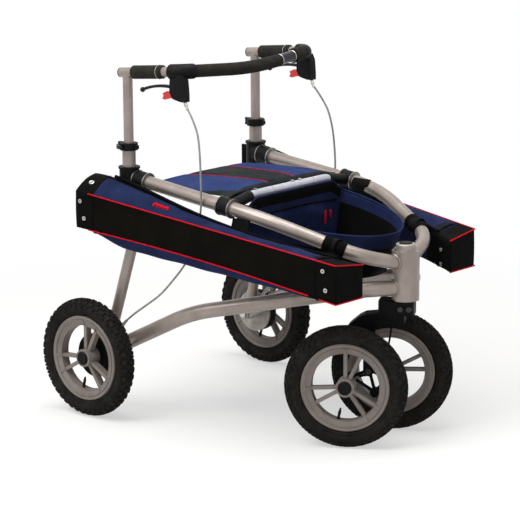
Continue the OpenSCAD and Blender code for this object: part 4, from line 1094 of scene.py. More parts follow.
@dataclass
class SeatCover:
    """Padded seat with two curved seams and red piping."""

    draw_in: float = 0.002
    merge: float = 1e-5
    voxel: float = 0.005
    pressure: float = 4.0
    stiffness: float = 25.0
    swell: float = 0.005
    frames: int = 20
    seam_depth: float = 0.0026
    seam_width: float = 0.006
    crease: float = 0.0007
    crease_rate: float = 38.0
    piping_r: float = 0.001
    piping_rise: float = 0.0005
    piping_back: float = 0.008
    piping_front: float = AXLE_X + 0.353
    held_below: float = -0.5
    sewn_above: float = 0.2

    def build(self) -> None:
        """Builds the cushion and its piping."""
        cushion = piece("seat_cover", self.start_mesh(), "seat_fabric", SEAT, body=None)
        self.remesh(cushion)
        self.inflate(cushion)
        self.sew(cushion)
        soften(cushion)
        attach(cushion, "frame")
        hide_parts("seat_pad")
        self.piping(cushion)

    def start_mesh(self) -> BMesh:
        """Merged copy of the plain pad, drawn in a little so that it can swell.

        Returns:
            The copy's bmesh.
        """
        bm = bmesh.new()
        bm.from_mesh(frame["nodes"]["seat_pad"].data)
        bmesh.ops.remove_doubles(bm, verts=bm.verts[:], dist=self.merge)
        outward(bm)
        for vert in bm.verts:
            vert.co -= vert.normal * self.draw_in
        return bm

    def remesh(self, obj: Object) -> None:
        """Even mesh over the whole pad.

        Args:
            obj: The cushion.
        """
        grid = obj.modifiers.new("grid", "REMESH")
        grid.mode, grid.voxel_size, grid.use_smooth_shade = "VOXEL", self.voxel, True
        self.bake(obj)

    def bake(self, obj: Object) -> None:
        """Puts the modifiers' result into the object's mesh.

        Args:
            obj: The cushion.
        """
        graph = bpy.context.evaluated_depsgraph_get()
        graph.update()
        mesh = bpy.data.meshes.new_from_object(obj.evaluated_get(graph))
        obj.modifiers.clear()
        old, obj.data = obj.data, mesh
        mesh.name = "seat_cover"
        bpy.data.meshes.remove(old)
        mesh.polygons.foreach_set("use_smooth", [True] * len(mesh.polygons))

    def inflate(self, obj: Object) -> None:
        """Cloth that swells under pressure, with its underside held and its travel capped.

        Args:
            obj: The cushion.
        """
        rest = [v.co.copy() for v in obj.data.vertices]
        low = min(p.z for p in rest)
        group = obj.vertex_groups.new(name="held")
        group.add([v.index for v in obj.data.vertices if v.normal.z < self.held_below], 1.0, "REPLACE")
        cloth = obj.modifiers.new("cloth", "CLOTH")
        cloth.settings.use_pressure = True
        cloth.settings.uniform_pressure_force = self.pressure
        cloth.settings.effector_weights.gravity = 0.0
        cloth.settings.vertex_group_mass = "held"
        cloth.settings.tension_stiffness = cloth.settings.compression_stiffness = self.stiffness
        cloth.collision_settings.use_collision = False
        scene = bpy.context.scene
        for number in range(1, self.frames + 1):
            scene.frame_set(number)
        self.bake(obj)
        scene.frame_set(1)
        for vert, start in zip(obj.data.vertices, rest):
            move = vert.co - start
            if move.length > self.swell:
                vert.co = start + move.normalized() * self.swell
            vert.co.z = max(vert.co.z, low)

    def sew(self, obj: Object) -> None:
        """Draws the top in along the two seams and creases it a little.

        Args:
            obj: The cushion.
        """
        for vert in obj.data.vertices:
            if vert.normal.z > self.sewn_above:
                off = abs(vert.co.y) - SEAT.seam(vert.co.x)
                vert.co.z -= self.seam_depth * math.exp(-(off / self.seam_width) ** 2)
                vert.co.z += self.crease * noise.noise(vert.co * self.crease_rate)

    def piping(self, obj: Object) -> None:
        """Red cord sewn into both seams.

        Args:
            obj: The cushion.
        """
        skin = BVHTree.FromObject(obj, bpy.context.evaluated_depsgraph_get())
        low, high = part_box("seat_pad")
        runs = []
        for side in Side:
            line = (mix(low.x + self.piping_back, self.piping_front, s) for s in shares(59))
            hits = (skin.ray_cast(Vector((x, side.value * SEAT.seam(x), high.z + 0.1)), DOWN)[0] for x in line)
            runs.append([hit + UP * self.piping_rise for hit in hits if hit is not None])
        piece("seat_piping", tube_mesh(runs, self.piping_r), "red_plastic", PIPING)


@dataclass
class SideBags:
    """Two long bags with dark side panels, navy tops, capped ends and red piping.

    Sizes are millimetres, apart from the wall and the radii. A pair gives a size at the rear and the front end.
    """

    back: float = 25.0
    length: float = 782.0
    outer_y: Pair = (352, 276)
    inner_y: Pair = (279, 172)
    top_z: Pair = (582, 485)
    inner_z: Pair = (616, 471)
    inner_dip: float = 10.0
    inner_hump: float = 210.0
    depth: float = 94.0
    low_rise: float = 10.0
    belly: float = 26.0
    rear_belly: float = 0.4
    belly_from: float = 0.17
    puff: float = 7.0
    puff_end: Pair = (0.84, 0.96)
    lip: float = 1.5
    wall: float = 0.0022
    steps: int = 72
    panel_pts: int = 8
    floor_pts: int = 14
    inner_pts: int = 6
    crest_pts: int = 12
    rear_cap: float = 0.068
    front_cap: float = 0.925
    cap_side: float = 0.87
    # Folds of the top and of the floor: rates along and across, seed and height.
    folds: tuple = ((7.0, 1.5, 3.1, 7), (21.0, 3.0, 8.7, 3))
    floor_fold: tuple = (11, 2, 1.7, 3)
    fold_x: Pair = (0.2, 0.8)
    end_ring: float = 0.994
    end_round: float = 2.5
    cap_inset: float = 0.006
    hem_from: float = 0.095
    hem_in: float = 4.0
    hem_rise: float = 5.0
    hem_r: float = 0.0042
    piping_r: float = 0.0017
    piping_in: float = 0.6
    # Red cords: first and last share of the length on the top edge, the lower edge and below the front cap.
    piping_top: Pair = (0.05, 1.0)
    piping_low: Pair = (0.05, 0.9)
    piping_cap: Pair = (0.94, 1.0)

    @property
    def first_crest(self) -> int:
        """Number of a section's first point on the top."""
        return self.panel_pts + self.floor_pts + self.inner_pts

    def build(self) -> None:
        """Builds both bags."""
        for side in Side:
            self.shell(side)
            self.piping(side)
            self.hem(side)

    def x(self, t: float) -> float:
        """Distance ahead of the rear axle at share t of the bag's length."""
        return t * self.length - self.back

    def share(self, x: float) -> float:
        """Share of the bag's length at a distance ahead of the rear axle."""
        return (x + self.back) / self.length

    def outer(self, t: float) -> float:
        """Outer half width."""
        return mix(*self.outer_y, t)

    def inner(self, t: float) -> float:
        """Inner half width."""
        return mix(*self.inner_y, t ** 3)

    def top(self, t: float) -> float:
        """Height of the outer top edge."""
        return mix(*self.top_z, t)

    def inner_top(self, t: float) -> float:
        """Height of the inner top edge."""
        return mix(*self.inner_z, t) - self.inner_dip * arch(t) + self.inner_hump * t * (1 - t) ** 5

    def low(self, t: float) -> float:
        """Height of the outer lower edge."""
        return self.top(t) - self.depth + self.low_rise * arch(t)

    def sag(self, t: float) -> float:
        """Sag of the floor under the outer lower edge."""
        full = self.belly * (1 + self.rear_belly * (1 - t))
        return full * max(0.0, arch(t ** 0.6)) ** 0.5 * smooth(0.0, self.belly_from, t)

    def bulge(self, t: float) -> float:
        """Rise of the bag's top over the line between its edges, none on the front cap."""
        return self.puff * (1 - smooth(*self.puff_end, t))

    def fold(self, t: float, s: float) -> float:
        """Height of the soft folds on the bag's top, in millimetres."""
        wave = sum(ripple(t * along, s * across, seed) * rise for along, across, seed, rise in self.folds)
        return wave * arch(s) * smooth(self.rear_cap, self.fold_x[0], t) * smooth(self.front_cap, self.fold_x[1], t)

    def on_top(self, side: Side, t: float, s: float, lift: float, lip: float) -> Vector:
        """Point over a bag's top.

        Args:
            side: Side of the rollator.
            t: Share of the bag's length.
            s: Share from its inner to its outer edge.
            lift: Height over the cloth in millimetres.
            lip: How far inside the outer edge the share ends.

        Returns:
            The point.
        """
        z = mix(self.inner_top(t), self.top(t), s) + self.bulge(t) * arch(s) + self.fold(t, s) + lift
        return at(self.x(t), side.value * mix(self.inner(t), self.outer(t) - lip, s), z)

    def ring(self, t: float, shrink: float = 0.0) -> list[Pair]:
        """Section of the bag.

        Args:
            t: Share of the bag's length.
            shrink: How far the section is drawn in.

        Returns:
            Points across and up, from the outer top edge round by the floor.
        """
        out, inn = self.outer(t) - shrink, self.inner(t) + shrink
        top, low = self.top(t) - shrink, self.low(t) + shrink
        in_top, edge = self.inner_top(t) - shrink, out - self.lip
        points = [(edge + self.lip * arch(s), mix(top, low, s)) for s in shares(self.panel_pts)[:-1]]
        points += [(mix(edge, inn, s), low - self.sag(t) * (4 * s * (1 - s)) ** 0.5)
                   for s in shares(self.floor_pts)[:-1]]
        points += [(inn, mix(low, in_top, s)) for s in shares(self.inner_pts)[:-1]]
        points += [(mix(inn, edge, s), mix(in_top, top, s) + self.bulge(t) * arch(s))
                   for s in shares(self.crest_pts)[:-1]]
        return points

    def crumple(self, t: float, i: int) -> float:
        """How far the cloth is out of its smooth section at point i, in millimetres.

        Args:
            t: Share of the bag's length.
            i: Number of the section's point.

        Returns:
            The height of its fold.
        """
        if i > self.first_crest:
            return self.fold(t, (i - self.first_crest) / self.crest_pts)
        if self.panel_pts < i < self.panel_pts + self.floor_pts:
            s = (i - self.panel_pts) / self.floor_pts
            along, across, seed, rise = self.floor_fold
            return rise * ripple(t * along, s * across, seed) * arch(s)
        return 0.0

    def shell(self, side: Side) -> None:
        """Lofted skin with a wall, open at the rear.

        Args:
            side: Side of the rollator.
        """
        stations = shares(self.steps)[:-1] + [self.end_ring, 1.0]
        rings = []
        for t in stations:
            section = self.ring(t, self.end_round if t == 1.0 else 0.0)
            rings.append([at(self.x(t), side.value * y, z + self.crumple(t, i)) for i, (y, z) in enumerate(section)])

        def tint(k: int, i: int) -> int:
            """Dark caps and panel, navy elsewhere, black along the inner top edge.

            Args:
                k: Number of the ring.
                i: Place in the ring.

            Returns:
                The cloth's material number.
            """
            cap = self.front_cap if i >= self.first_crest else self.cap_side
            if stations[k] < self.rear_cap or stations[k] >= cap:
                return BagCloth.BLACK
            if i < self.panel_pts:
                return BagCloth.PANEL
            return BagCloth.BLACK if -2 <= i - self.first_crest <= 1 else BagCloth.NAVY

        bm, _, front = loft(rings, tint)
        cap = bmesh.ops.edgeloop_fill(bm, edges=front)["faces"]
        for face in cap:
            face.material_index = BagCloth.BLACK
        bmesh.ops.inset_region(bm, faces=cap, thickness=self.cap_inset)
        outward(bm)
        bag = piece(f"side_bag_{side.word}", bm, "navy_fabric", PANEL, NAVY, BLACK)
        thick = bag.modifiers.new("wall", "SOLIDIFY")
        thick.thickness, thick.offset, thick.material_offset = self.wall, -1.0, 0
        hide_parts(f"bag_{side.word}")

    def hem(self, side: Side) -> None:
        """Black binding rolled over the inner top edge.

        Args:
            side: Side of the rollator.
        """
        run = [at(self.x(t), side.value * (self.inner(t) + self.hem_in), self.inner_top(t) + self.hem_rise)
               for t in (mix(self.hem_from, self.front_cap, s) for s in shares(80))]
        piece(f"bag_hem_{side.word}", tube_mesh([run], self.hem_r, 3), "webbing", BLACK)

    def edge(self, side: Side, reach: Pair, height: Callable[[float], float]) -> list[Vector]:
        """Points along an edge of the side panel.

        Args:
            side: Side of the rollator.
            reach: First and last share of the bag's length.
            height: The edge's height by share of the length.

        Returns:
            The points.
        """
        return [at(self.x(t), side.value * (self.outer(t) - self.piping_in), height(t))
                for t in (mix(*reach, s) for s in shares(60))]

    def piping(self, side: Side) -> None:
        """Red cords round the side panel and the front cap.

        Args:
            side: Side of the rollator.
        """
        def across(outer_z: float, inner_z: float) -> list[Vector]:
            """Points across the front end, without the first."""
            return [at(self.x(1.0), side.value * mix(self.outer(1.0) - self.lip, self.inner(1.0), s),
                       mix(outer_z, inner_z, s)) for s in shares(16)[1:]]

        runs = [self.edge(side, self.piping_top, self.top) + across(self.top(1.0), self.inner_top(1.0)),
                self.edge(side, self.piping_low, self.low),
                self.edge(side, self.piping_cap, self.low) + across(self.low(1.0), self.low(1.0))]
        piece(f"bag_piping_{side.word}", tube_mesh(runs, self.piping_r), "red_plastic", PIPING)


@dataclass
class Basket:
    """Open front basket: a half-oval cloth tub with a folded rim and a higher back wall.

    Sizes are millimetres, apart from the radii and the cloth's thickness.
    """

    back_x: float = 396.3
    length: float = 312.7
    half: float = 198.0
    rim_z: float = 553.0
    back_z: float = 583.0
    floor_z: float = 400.0
    pitch: float = math.radians(8.0)
    foot_share: float = 0.85
    wall: float = 3.4
    around: int = 64
    across: int = 32
    net: tuple[int, int] = (20, 44)
    band: float = 34.0 / 165
    back_band: Pair = (0.14, 0.8)
    back_slope: float = 0.72
    slack: float = 3.2
    slack_span: float = 60.0
    slack_rate: float = 3.0
    slack_seed: float = 4.2
    draw_in: float = 0.9
    hem_r: float = 0.0028
    hem_lift: float = 0.0005
    pocket_half: float = 162.0
    pocket_z: Pair = (436, 541)
    pocket_dip: float = 5.0
    pocket_gap: float = 2.0
    pocket_fill: float = 4.5
    pocket_crease: float = 5.0
    pocket_t: float = 0.0014
    zip_gap: float = 3.2
    zip_r: float = 0.0024
    # Zip pulls: place across, top and lower end.
    pulls: tuple[Point, ...] = ((103.0, 515.0, 481.0), (124.0, 515.0, 493.0))
    pull_gap: float = 14.0
    pull_t: float = 0.003
    pull_w: float = 0.0065
    pull_round: float = 0.0012

    def build(self) -> None:
        """Builds the tub, its rim cord, the pocket and the zip pulls."""
        tub = piece("front_basket", self.mesh(), "mesh_fabric", NAVY, BLACK, NET)
        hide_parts("basket")
        ring = [p + UP * self.hem_lift for p in self.ring(0.0, self.wall / 2)]
        piece("basket_hem", tube_mesh([ring], self.hem_r, closed=True), "navy_fabric", NAVY)
        self.pocket()
        self.zips()

    def plan(self, i: int) -> Point:
        """Place i round the basket: share of the length, share of the half width, and 1 on the back wall.

        Args:
            i: Number of the place.

        Returns:
            The two shares, and 1 or 0.
        """
        if i <= self.around:
            a = math.pi * i / self.around - math.pi / 2
            return math.cos(a), math.sin(a), 0.0
        return 0.0, 1 - 2 * (i - self.around) / self.across, 1.0

    def rim_at(self, i: int) -> float:
        """Height of the rim at place i.

        Args:
            i: Number of the place.

        Returns:
            The height.
        """
        x, y, back = self.plan(i)
        if not back:
            return self.rim_z - x * self.length * math.tan(self.pitch)
        return mix(self.rim_z, self.back_z, smooth(1.0, self.back_slope, abs(y)))

    def ring(self, down: float, inset: float) -> list[Vector]:
        """Ring round the basket.

        Args:
            down: Share of the way down the wall.
            inset: How far the ring is drawn in.

        Returns:
            Points of the ring.
        """
        ring = []
        mid = self.length / 2
        share = mix(1.0, self.foot_share, down)
        for i in range(self.around + self.across):
            x, y, back = self.plan(i)
            out = Vector((x * self.length - mid, y * self.half, 0)) / self.slack_span
            px, py = x * self.length * share - mid, y * self.half * share
            keep = 1 - inset / math.hypot(px, py)
            soft = ripple(out.x, out.y, down * self.slack_rate + self.slack_seed) * self.slack * arch(down)
            px = mid + px * keep + (soft if back else (soft - self.draw_in * arch(down)) * x)
            ring.append(at(self.back_x + max(px, inset if back else 0.0), py * keep,
                           mix(self.rim_at(i), self.floor_z, down)))
        return ring

    def mesh(self) -> BMesh:
        """Outside from the floor to the rim, over it, and down the inside.

        Returns:
            The tub's bmesh.
        """
        band = self.band
        outside = [1.0, 0.85, 0.7, 0.55, 0.42, 0.32, band, band * 0.6, band * 0.25, 0.0]
        inside = [0.0, band * 0.3, band * 0.7, band, 0.3, 0.45, 0.6, 0.75, 0.9, 0.978]
        rings = [self.ring(d, 0.0) for d in outside] + [self.ring(d, self.wall) for d in inside]
        turn = len(outside)

        def tint(k: int, i: int) -> int:
            """Navy rim and back wall, net on the front, black inside.

            Args:
                k: Number of the ring.
                i: Place in the ring.

            Returns:
                The cloth's material number.
            """
            down = inside[k - turn] if k >= turn else outside[min(k + 1, turn - 1)]
            if i > self.around:
                navy = k >= turn and self.back_band[0] < down < self.back_band[1]
            else:
                navy = down < band * (0.99 if k >= turn else 1.01)
            if navy:
                return TubCloth.NAVY
            return TubCloth.NET if k < turn and self.net[0] < i < self.net[1] else TubCloth.BLACK

        bm, foot, floor = loft(rings, tint)
        for edges in (foot, floor):
            for face in bmesh.ops.edgeloop_fill(bm, edges=edges)["faces"]:
                face.material_index = TubCloth.BLACK
        outward(bm)
        return bm

    def pocket_top(self, across: float) -> float:
        """Height of the pocket's top edge, by share of its half width."""
        return self.pocket_z[1] - self.pocket_dip * across ** 2

    def pocket(self) -> None:
        """Slack zip pocket sewn on the inside of the back wall."""
        bm = bmesh.new()
        bmesh.ops.create_grid(bm, x_segments=48, y_segments=20, size=0.5)
        for vert in bm.verts:
            across, up = vert.co.x * 2, vert.co.y + 0.5
            slack = (1 - across ** 4) * (1 - (2 * up - 1) ** 4)
            crease = (ripple(across * 3.2 + up * 1.4, up * 1.3, 5.5)
                      + 0.5 * ripple(across * 7.5 - up * 2.0, up * 3.0, 2.2))
            bulge = slack * max(0.0, self.pocket_fill + self.pocket_crease * crease)
            vert.co = at(self.back_x + self.wall + self.pocket_gap + bulge, across * self.pocket_half,
                         mix(self.pocket_z[0], self.pocket_top(across), up))
        outward(bm)
        bmesh.ops.solidify(bm, geom=bm.faces[:], thickness=self.pocket_t)
        soften(piece("basket_pocket", bm, "navy_fabric", NAVY))
        run = [at(self.back_x + self.wall + self.zip_gap, mix(-self.pocket_half, self.pocket_half, s),
                  self.pocket_top(2 * s - 1)) for s in shares(24)]
        piece("pocket_zip", tube_mesh([run], self.zip_r), "webbing", BLACK)

    def zips(self) -> None:
        """Two red zip pulls that hang on the back wall."""
        bm = bmesh.new()
        for y, top, low in self.pulls:
            where = Matrix.Translation(at(self.back_x + self.wall + self.pull_gap, y, (top + low) / 2))
            size = Matrix.Diagonal((self.pull_t, self.pull_w, (top - low) * MM, 1))
            made = bmesh.ops.create_cube(bm, size=1.0, matrix=where @ size)["verts"]
            bevel(bm, list({e for v in made for e in v.link_edges}), self.pull_round)
        piece("zip_pulls", bm, "red_plastic", PIPING)


@dataclass
class Rails:
    """Centre lines of the frame tubes in millimetres, which the webbing and the weld beads follow."""

    upper: tuple[Point, ...] = ((86, 236, 605.86), (480, 236, 561.66), (712, 139, 481), (751, 0, 441))
    upper_radii: Pair = (0.420, 0.110)
    # The last straight run of a lower rail.
    lower: tuple[Point, ...] = ((700, 105, 389), (751, 0, 384))
    upper_r: float = 0.017
    lower_r: float = 0.019
    head_r: float = 0.034
    bead_r: float = 0.0024
    bead_out: float = 0.0012
    bead_in: float = 0.0008
    ripple: float = 0.0005
    ripples: int = 9
    window: float = 4.0

    def line(self, side: Side) -> list[Vector]:
        """Centre line of an upper rail from the rear to the head."""
        return bent_line([at(x, side.value * y, z) for x, y, z in self.upper], self.upper_radii)

    def between(self, side: Side, first: float, last: float) -> list[Vector]:
        """The part of an upper rail's line between two distances ahead of the rear axle."""
        return [p for p in self.line(side) if AXLE_X + first * MM <= p.x <= AXLE_X + last * MM]

    def near(self, side: Side, x: float) -> Vector:
        """Point of an upper rail's line close to a distance ahead of the rear axle."""
        return self.between(side, x - self.window, x + self.window)[0]

    def build(self) -> None:
        """Builds the weld beads where the rails meet the head tube."""
        runs = []
        for side in Side:
            for points, radius in ((self.upper, self.upper_r), (self.lower, self.lower_r)):
                x, y, z = points[-2]
                runs.append(self.bead(at(x, side.value * y, z), at(*points[-1]), radius))
        piece("weld_beads", tube_mesh(runs, self.bead_r, closed=True), "frame_paint", SILVER)

    def bead(self, start: Vector, end: Vector, radius: float) -> list[Vector]:
        """Line where a rail's skin meets the head tube, with a welder's ripple.

        Args:
            start: Point on the rail's axis before the head tube.
            end: Point where that axis meets the head tube's.
            radius: The rail's radius.

        Returns:
            Points of the closed line.
        """
        way = (end - start).normalized()
        side = way.cross(UP).normalized()
        up = side.cross(way)
        run = way.xy
        ring = []
        for a in turns(72):
            base = end + (side * math.cos(a) + up * math.sin(a)) * (radius + self.bead_out)
            flat = (base - end).xy
            skin = self.head_r + self.bead_in + self.ripple * math.sin(self.ripples * a)
            b, c = flat.dot(run), flat.length_squared - skin ** 2
            ring.append(base + way * ((-b - math.sqrt(max(0.0, b * b - run.length_squared * c))) / run.length_squared))
        return ring


@dataclass
class Webbing:
    """Sleeves and straps that hang the bags and the basket from the rails."""

    sleeve_x: Pair = (634.0, 686.0)
    sleeve_r: float = 0.0203
    sleeve_crease: float = 0.0011
    crease_rate: float = 70.0
    strap_w: float = 0.025
    strap_t: float = 0.0022
    strap_gap: float = 0.0012
    strap_sag: float = 0.004
    tail_step: float = 0.006
    foot_in: float = 1.2
    foot_drop: float = 9.0
    round_rail: Pair = (250, -30)
    under_rail: Pair = (115, 300)
    corner_x: float = 434.0
    corner_w: float = 0.055
    corner_r: float = 0.0186
    flap_s: Pair = (0.02, 0.74)
    flap_lift: float = 2.2
    cross_x: float = 382.0
    cross_rise: float = 0.017
    shoulder_y: float = 0.138
    collar_r: float = 0.024
    tab_x: float = AXLE_X + 0.353
    tab_w: float = 0.030
    tab_lift: float = 0.003

    def build(self, rails: Rails, bags: SideBags) -> None:
        """Builds the sleeves and straps of both sides.

        Args:
            rails: The rails that they hang from.
            bags: The bags that they carry.
        """
        for side in Side:
            line = rails.between(side, *self.sleeve_x)
            mesh = tube_mesh([line], self.sleeve_r, 5)
            for vert in mesh.vertices:
                vert.co += vert.normal * self.sleeve_crease * noise.noise(vert.co * self.crease_rate)
            sleeve = piece(f"rail_sleeve_{side.word}", mesh, "webbing", BLACK)
            soften(sleeve)
            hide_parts("strap_sleeves")
            self.strap(f"front_strap_{side.word}", side, bags, line[len(line) // 2], self.sleeve_r, self.round_rail,
                       self.strap_w)
            self.flap(side, bags)
            self.seat_tab(side, rails)
            self.strap(f"corner_cloth_{side.word}", side, bags, rails.near(side, self.corner_x), self.corner_r,
                       self.under_rail, self.corner_w)

    def seat_tab(self, side: Side, rails: Rails) -> None:
        """Cloth between the seat's front corner and the socket of the cross tube.

        Args:
            side: Side of the rollator.
            rails: The rails that carry the cross tube.
        """
        root = rails.near(side, self.cross_x)
        reach = abs(root.y)
        path = []
        for s in shares(8):
            y = mix(reach - self.collar_r, self.shoulder_y, s)
            rise = self.cross_rise * (reach - y) / (reach - self.shoulder_y)
            path.append(Vector((self.tab_x, side.value * y, root.z + rise + self.tab_lift)))
        piece(f"seat_tab_{side.word}", ribbon(path, self.tab_w, self.strap_t), "webbing", BLACK)

    def flap(self, side: Side, bags: SideBags) -> None:
        """Strap sewn across the bag's top under the sleeve.

        Args:
            side: Side of the rollator.
            bags: The bags that carry it.
        """
        t = bags.share(self.sleeve_x[1])
        path = [bags.on_top(side, t, mix(*self.flap_s, s), self.flap_lift, 0.0) for s in shares(16)]
        piece(f"bag_flap_{side.word}", ribbon(path, self.strap_w, self.strap_t), "webbing", WEBBING)

    def strap(self, name: str, side: Side, bags: SideBags, middle: Vector, radius: float, sweep: Pair,
              width: float) -> None:
        """Strap that goes round the rail and down to the bag's inner top edge.

        Args:
            name: Name of the piece.
            side: Side of the rollator.
            bags: The bags that are carried.
            middle: Point on the rail's axis.
            radius: Radius of what the loop goes round.
            sweep: First and last angle of the loop in degrees, 0 outwards and 90 up.
            width: Width of the strap.
        """
        t = bags.share((middle.x - AXLE_X) / MM)
        foot = Vector((middle.x, side.value * (bags.inner(t) - self.foot_in) * MM,
                       (bags.inner_top(t) - self.foot_drop) * MM))
        wrap = [middle + Vector((0, side.value * math.cos(a), math.sin(a))) * (radius + self.strap_gap)
                for a in (math.radians(mix(*sweep, s)) for s in shares(20))]
        drop = [wrap[-1].lerp(foot, s) + DOWN * (self.strap_sag * arch(s)) for s in shares(8)[1:]]
        tail = [foot + DOWN * (self.tail_step * k) for k in range(1, 4)]
        piece(name, ribbon(wrap + drop + tail, width, self.strap_t), "webbing", WEBBING)


@dataclass
class Trim:
    """Small fittings: end plugs, rings, the head cap's plug, snaps, the red strip and the cap seams."""

    grip_rise: float = math.radians(5.5)
    grip_from: Pair = (58.0, 876.0)
    post_y: float = 242.0
    tee_x: float = 37.0
    # Steps of a tee plug: depth, foot and top radius, and reach from the tube's end.
    plug_steps: tuple = ((0.010, 0.0101, 0.0101, -0.005), (0.003, 0.0123, 0.0123, 0.0016),
                         (0.003, 0.0123, 0.0085, 0.0046))
    ring_wire: float = 0.0013
    bar_ring_r: float = 0.0141
    bar_ring_in: float = 0.004
    grip_ring_x: float = 168.0
    grip_ring_r: float = 0.0166
    # Steps of the head cap's plug: radius and rise.
    head_steps: tuple[Pair, ...] = ((0.0175, 0.0), (0.0165, 0.0014))
    head_taper: float = 0.94
    head_depth: float = 0.0016
    oval_at: Pair = (0.034, 0.6)
    oval_r: Pair = (0.0068, 0.0042)
    oval_flat: float = 0.8
    # Snaps on the outer side: shares of the bag's length and of its panel's height.
    snap_shares: tuple[Pair, ...] = ((0.02, 0.75), (0.035, 0.3), (0.955, 0.78), (0.965, 0.3))
    outer_lean: float = 0.097
    outer_lift: float = 0.0026
    inner_snap_x: float = 718.0
    inner_snap_z: Pair = (442.0, 405.0)
    inner_lean: float = -0.37
    inner_lift: Pair = (0.0009, 0.0022)
    snap_r: float = 0.0052
    snap_t: float = 0.0024
    snap_taper: float = 0.9
    eye_r: float = 0.0026
    eye_t: float = 0.0006
    tab_x: tuple[float, ...] = (206, 217, 228, 239, 250)
    strip_s: Pair = (0.56, 0.605)
    tab_s: float = 0.72
    strip_r: float = 0.0024
    cloth_lift: float = 0.8
    seam_out: float = 0.4
    seam_r: float = 0.0014

    def build(self, bags: SideBags) -> None:
        """Builds the fittings of both sides.

        Args:
            bags: The bags that carry the snaps, strips and seams.
        """
        self.plugs()
        self.bar_rings()
        self.grip_rings()
        self.head_plug()
        for side in Side:
            self.strip(side, bags)
            self.seams(side, bags)
            self.oval_snap(side, bags)
            self.snaps(side, bags)

    @property
    def grip_way(self) -> Vector:
        """Direction of the grips, forwards."""
        return Vector((math.cos(self.grip_rise), 0, math.sin(self.grip_rise)))

    def grip_axis(self, side: Side, x: float) -> Vector:
        """Point on a grip's axis at a distance ahead of the rear axle."""
        return at(x, side.value * self.post_y, self.grip_from[1] + (x - self.grip_from[0]) * math.tan(self.grip_rise))

    def plugs(self) -> None:
        """Domed plugs in the rear ends of the grip tubes."""
        bm = bmesh.new()
        back = -self.grip_way
        for side in Side:
            end = self.grip_axis(side, self.tee_x)
            for depth, foot, top, reach in self.plug_steps:
                turned(bm, facing(end + back * reach, back), foot, top, depth, 32)
        piece("tee_plugs", bm, "black_plastic", PLASTIC, body="handle", shade=False)

    def bar_rings(self) -> None:
        """Bright rings at both ends of the bare sleeve on the front bar."""
        verts = [v.co for v in frame["nodes"]["bar_sleeve"].data.vertices]
        ends = []
        for pick in (min, max):
            limit = pick(v.y for v in verts)
            group = [v for v in verts if abs(v.y - limit) < self.bar_ring_in]
            ends.append(sum(group, Vector()) / len(group))
        way = (ends[1] - ends[0]).normalized()
        runs = [circle(end + way * push * self.bar_ring_in, way, self.bar_ring_r) for end, push in zip(ends, (1, -1))]
        piece("bar_rings", tube_mesh(runs, self.ring_wire, 3, closed=True), "bright_steel", STEEL, body="handle")

    def grip_rings(self) -> None:
        """Pale ring near the front end of each grip."""
        runs = [circle(self.grip_axis(side, self.grip_ring_x), self.grip_way, self.grip_ring_r) for side in Side]
        piece("grip_rings", tube_mesh(runs, self.ring_wire, 3, closed=True), "cable_grey", SHEATH, body="handle")

    def head_plug(self) -> None:
        """Dark plug in the top of the head cap."""
        low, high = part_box("head_cap")
        bm = bmesh.new()
        centre = Vector(((low.x + high.x) / 2, (low.y + high.y) / 2, high.z))
        for radius, rise in self.head_steps:
            turned(bm, Matrix.Translation(centre + UP * rise), radius, radius * self.head_taper, self.head_depth, 40)
        piece("head_plug", bm, "black_plastic", PLASTIC, shade=False)

    def on_bag(self, side: Side, bags: SideBags, t: float, s: float) -> Vector:
        """Point close over a bag's top, by shares of its length and from its inner to its outer edge."""
        return bags.on_top(side, t, s, self.cloth_lift, bags.lip)

    def oval_snap(self, side: Side, bags: SideBags) -> None:
        """Snap on the sloped top of the rear cap.

        Args:
            side: Side of the rollator.
            bags: The bags that carry it.
        """
        t, s = self.oval_at
        mid = self.on_bag(side, bags, t, s)
        along = (self.on_bag(side, bags, t + 0.01, s) - mid).normalized()
        across = (self.on_bag(side, bags, t, s + 0.1) - mid).normalized() * self.oval_flat
        runs = [[mid + along * (r * math.cos(a)) + across * (r * math.sin(a)) for a in turns(28)] for r in self.oval_r]
        piece(f"cap_snap_{side.word}", tube_mesh(runs, self.ring_wire, closed=True), "bright_steel", STEEL)

    def snaps(self, side: Side, bags: SideBags) -> None:
        """Eyes in the snaps of a bag's outer side, and two whole snaps on the inner side of its front end.

        Args:
            side: Side of the rollator.
            bags: The bags that carry them.
        """
        bright, dark = bmesh.new(), bmesh.new()

        def disc(bm: BMesh, mid: Vector, way: Vector, radius: float, depth: float) -> None:
            """Adds a flat disc that faces one way."""
            turned(bm, facing(mid, way), radius, radius * self.snap_taper, depth, 24)

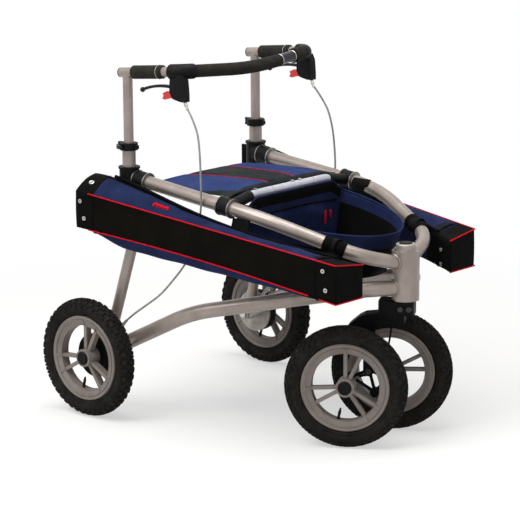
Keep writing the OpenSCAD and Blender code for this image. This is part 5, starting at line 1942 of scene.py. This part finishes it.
        away = Vector((self.outer_lean, side.value, 0)).normalized()
        for t, share in self.snap_shares:
            mid = at(bags.x(t), side.value * bags.outer(t), mix(bags.low(t), bags.top(t), share))
            disc(dark, mid + away * self.outer_lift, away, self.eye_r, self.eye_t)
        inward = Vector((self.inner_lean, -side.value, 0)).normalized()
        for z in self.inner_snap_z:
            mid = at(self.inner_snap_x, side.value * bags.inner(bags.share(self.inner_snap_x)), z)
            disc(bright, mid + inward * self.inner_lift[0], inward, self.snap_r, self.snap_t)
            disc(dark, mid + inward * self.inner_lift[1], inward, self.eye_r, self.eye_t)
        piece(f"inner_snaps_{side.word}", bright, "bright_steel", STEEL, shade=False)
        piece(f"snap_eyes_{side.word}", dark, "bright_steel", BRASS, shade=False)

    def strip(self, side: Side, bags: SideBags) -> None:
        """Red strip sewn on the bag's top, with a row of short tabs at its outer edge.

        Args:
            side: Side of the rollator.
            bags: The bags that carry it.
        """
        places = [bags.share(x) for x in self.tab_x]
        runs = [[self.on_bag(side, bags, mix(places[0], places[-1], k), s) for k in shares(16)] for s in self.strip_s]
        runs += [[self.on_bag(side, bags, t, mix(self.strip_s[0], self.tab_s, k)) for k in shares(6)] for t in places]
        piece(f"bag_loops_{side.word}", tube_mesh(runs, self.strip_r), "red_plastic", PIPING)

    def seams(self, side: Side, bags: SideBags) -> None:
        """Bound seams where the end caps meet the bag.

        Args:
            side: Side of the rollator.
            bags: The bags that carry it.
        """
        runs = [[at(bags.x(t), side.value * y, z) for y, z in bags.ring(t, -self.seam_out)]
                for t in (bags.rear_cap, bags.front_cap)]
        piece(f"bag_seams_{side.word}", tube_mesh(runs, self.seam_r, closed=True), "webbing", BLACK)


def dress() -> None:
    """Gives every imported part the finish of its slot."""
    slots = {row["node"]: row["material_slot"] for row in frame["record"]["subparts"]}
    for name, obj in frame["nodes"].items():
        finish = NODE_FINISH.get(name) or (LEVER if "lever" in name else SLOT_FINISH[slots[name]])
        obj.data.materials.clear()
        obj.data.materials.append(finish.material)
    LOG.info("dressed %d packed parts", len(frame["nodes"]))


def main() -> None:
    """Builds the scene in order."""
    logging.basicConfig(level=logging.INFO, format="%(name)s %(message)s")
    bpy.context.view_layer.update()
    Studio().build()
    Cables().build()
    dress()
    Wheels().build()
    SeatCover().build()
    bags = SideBags()
    bags.build()
    Basket().build()
    rails = Rails()
    rails.build()
    Webbing().build(rails, bags)
    Trim().build(bags)


if __name__ == "__main__":
    main()
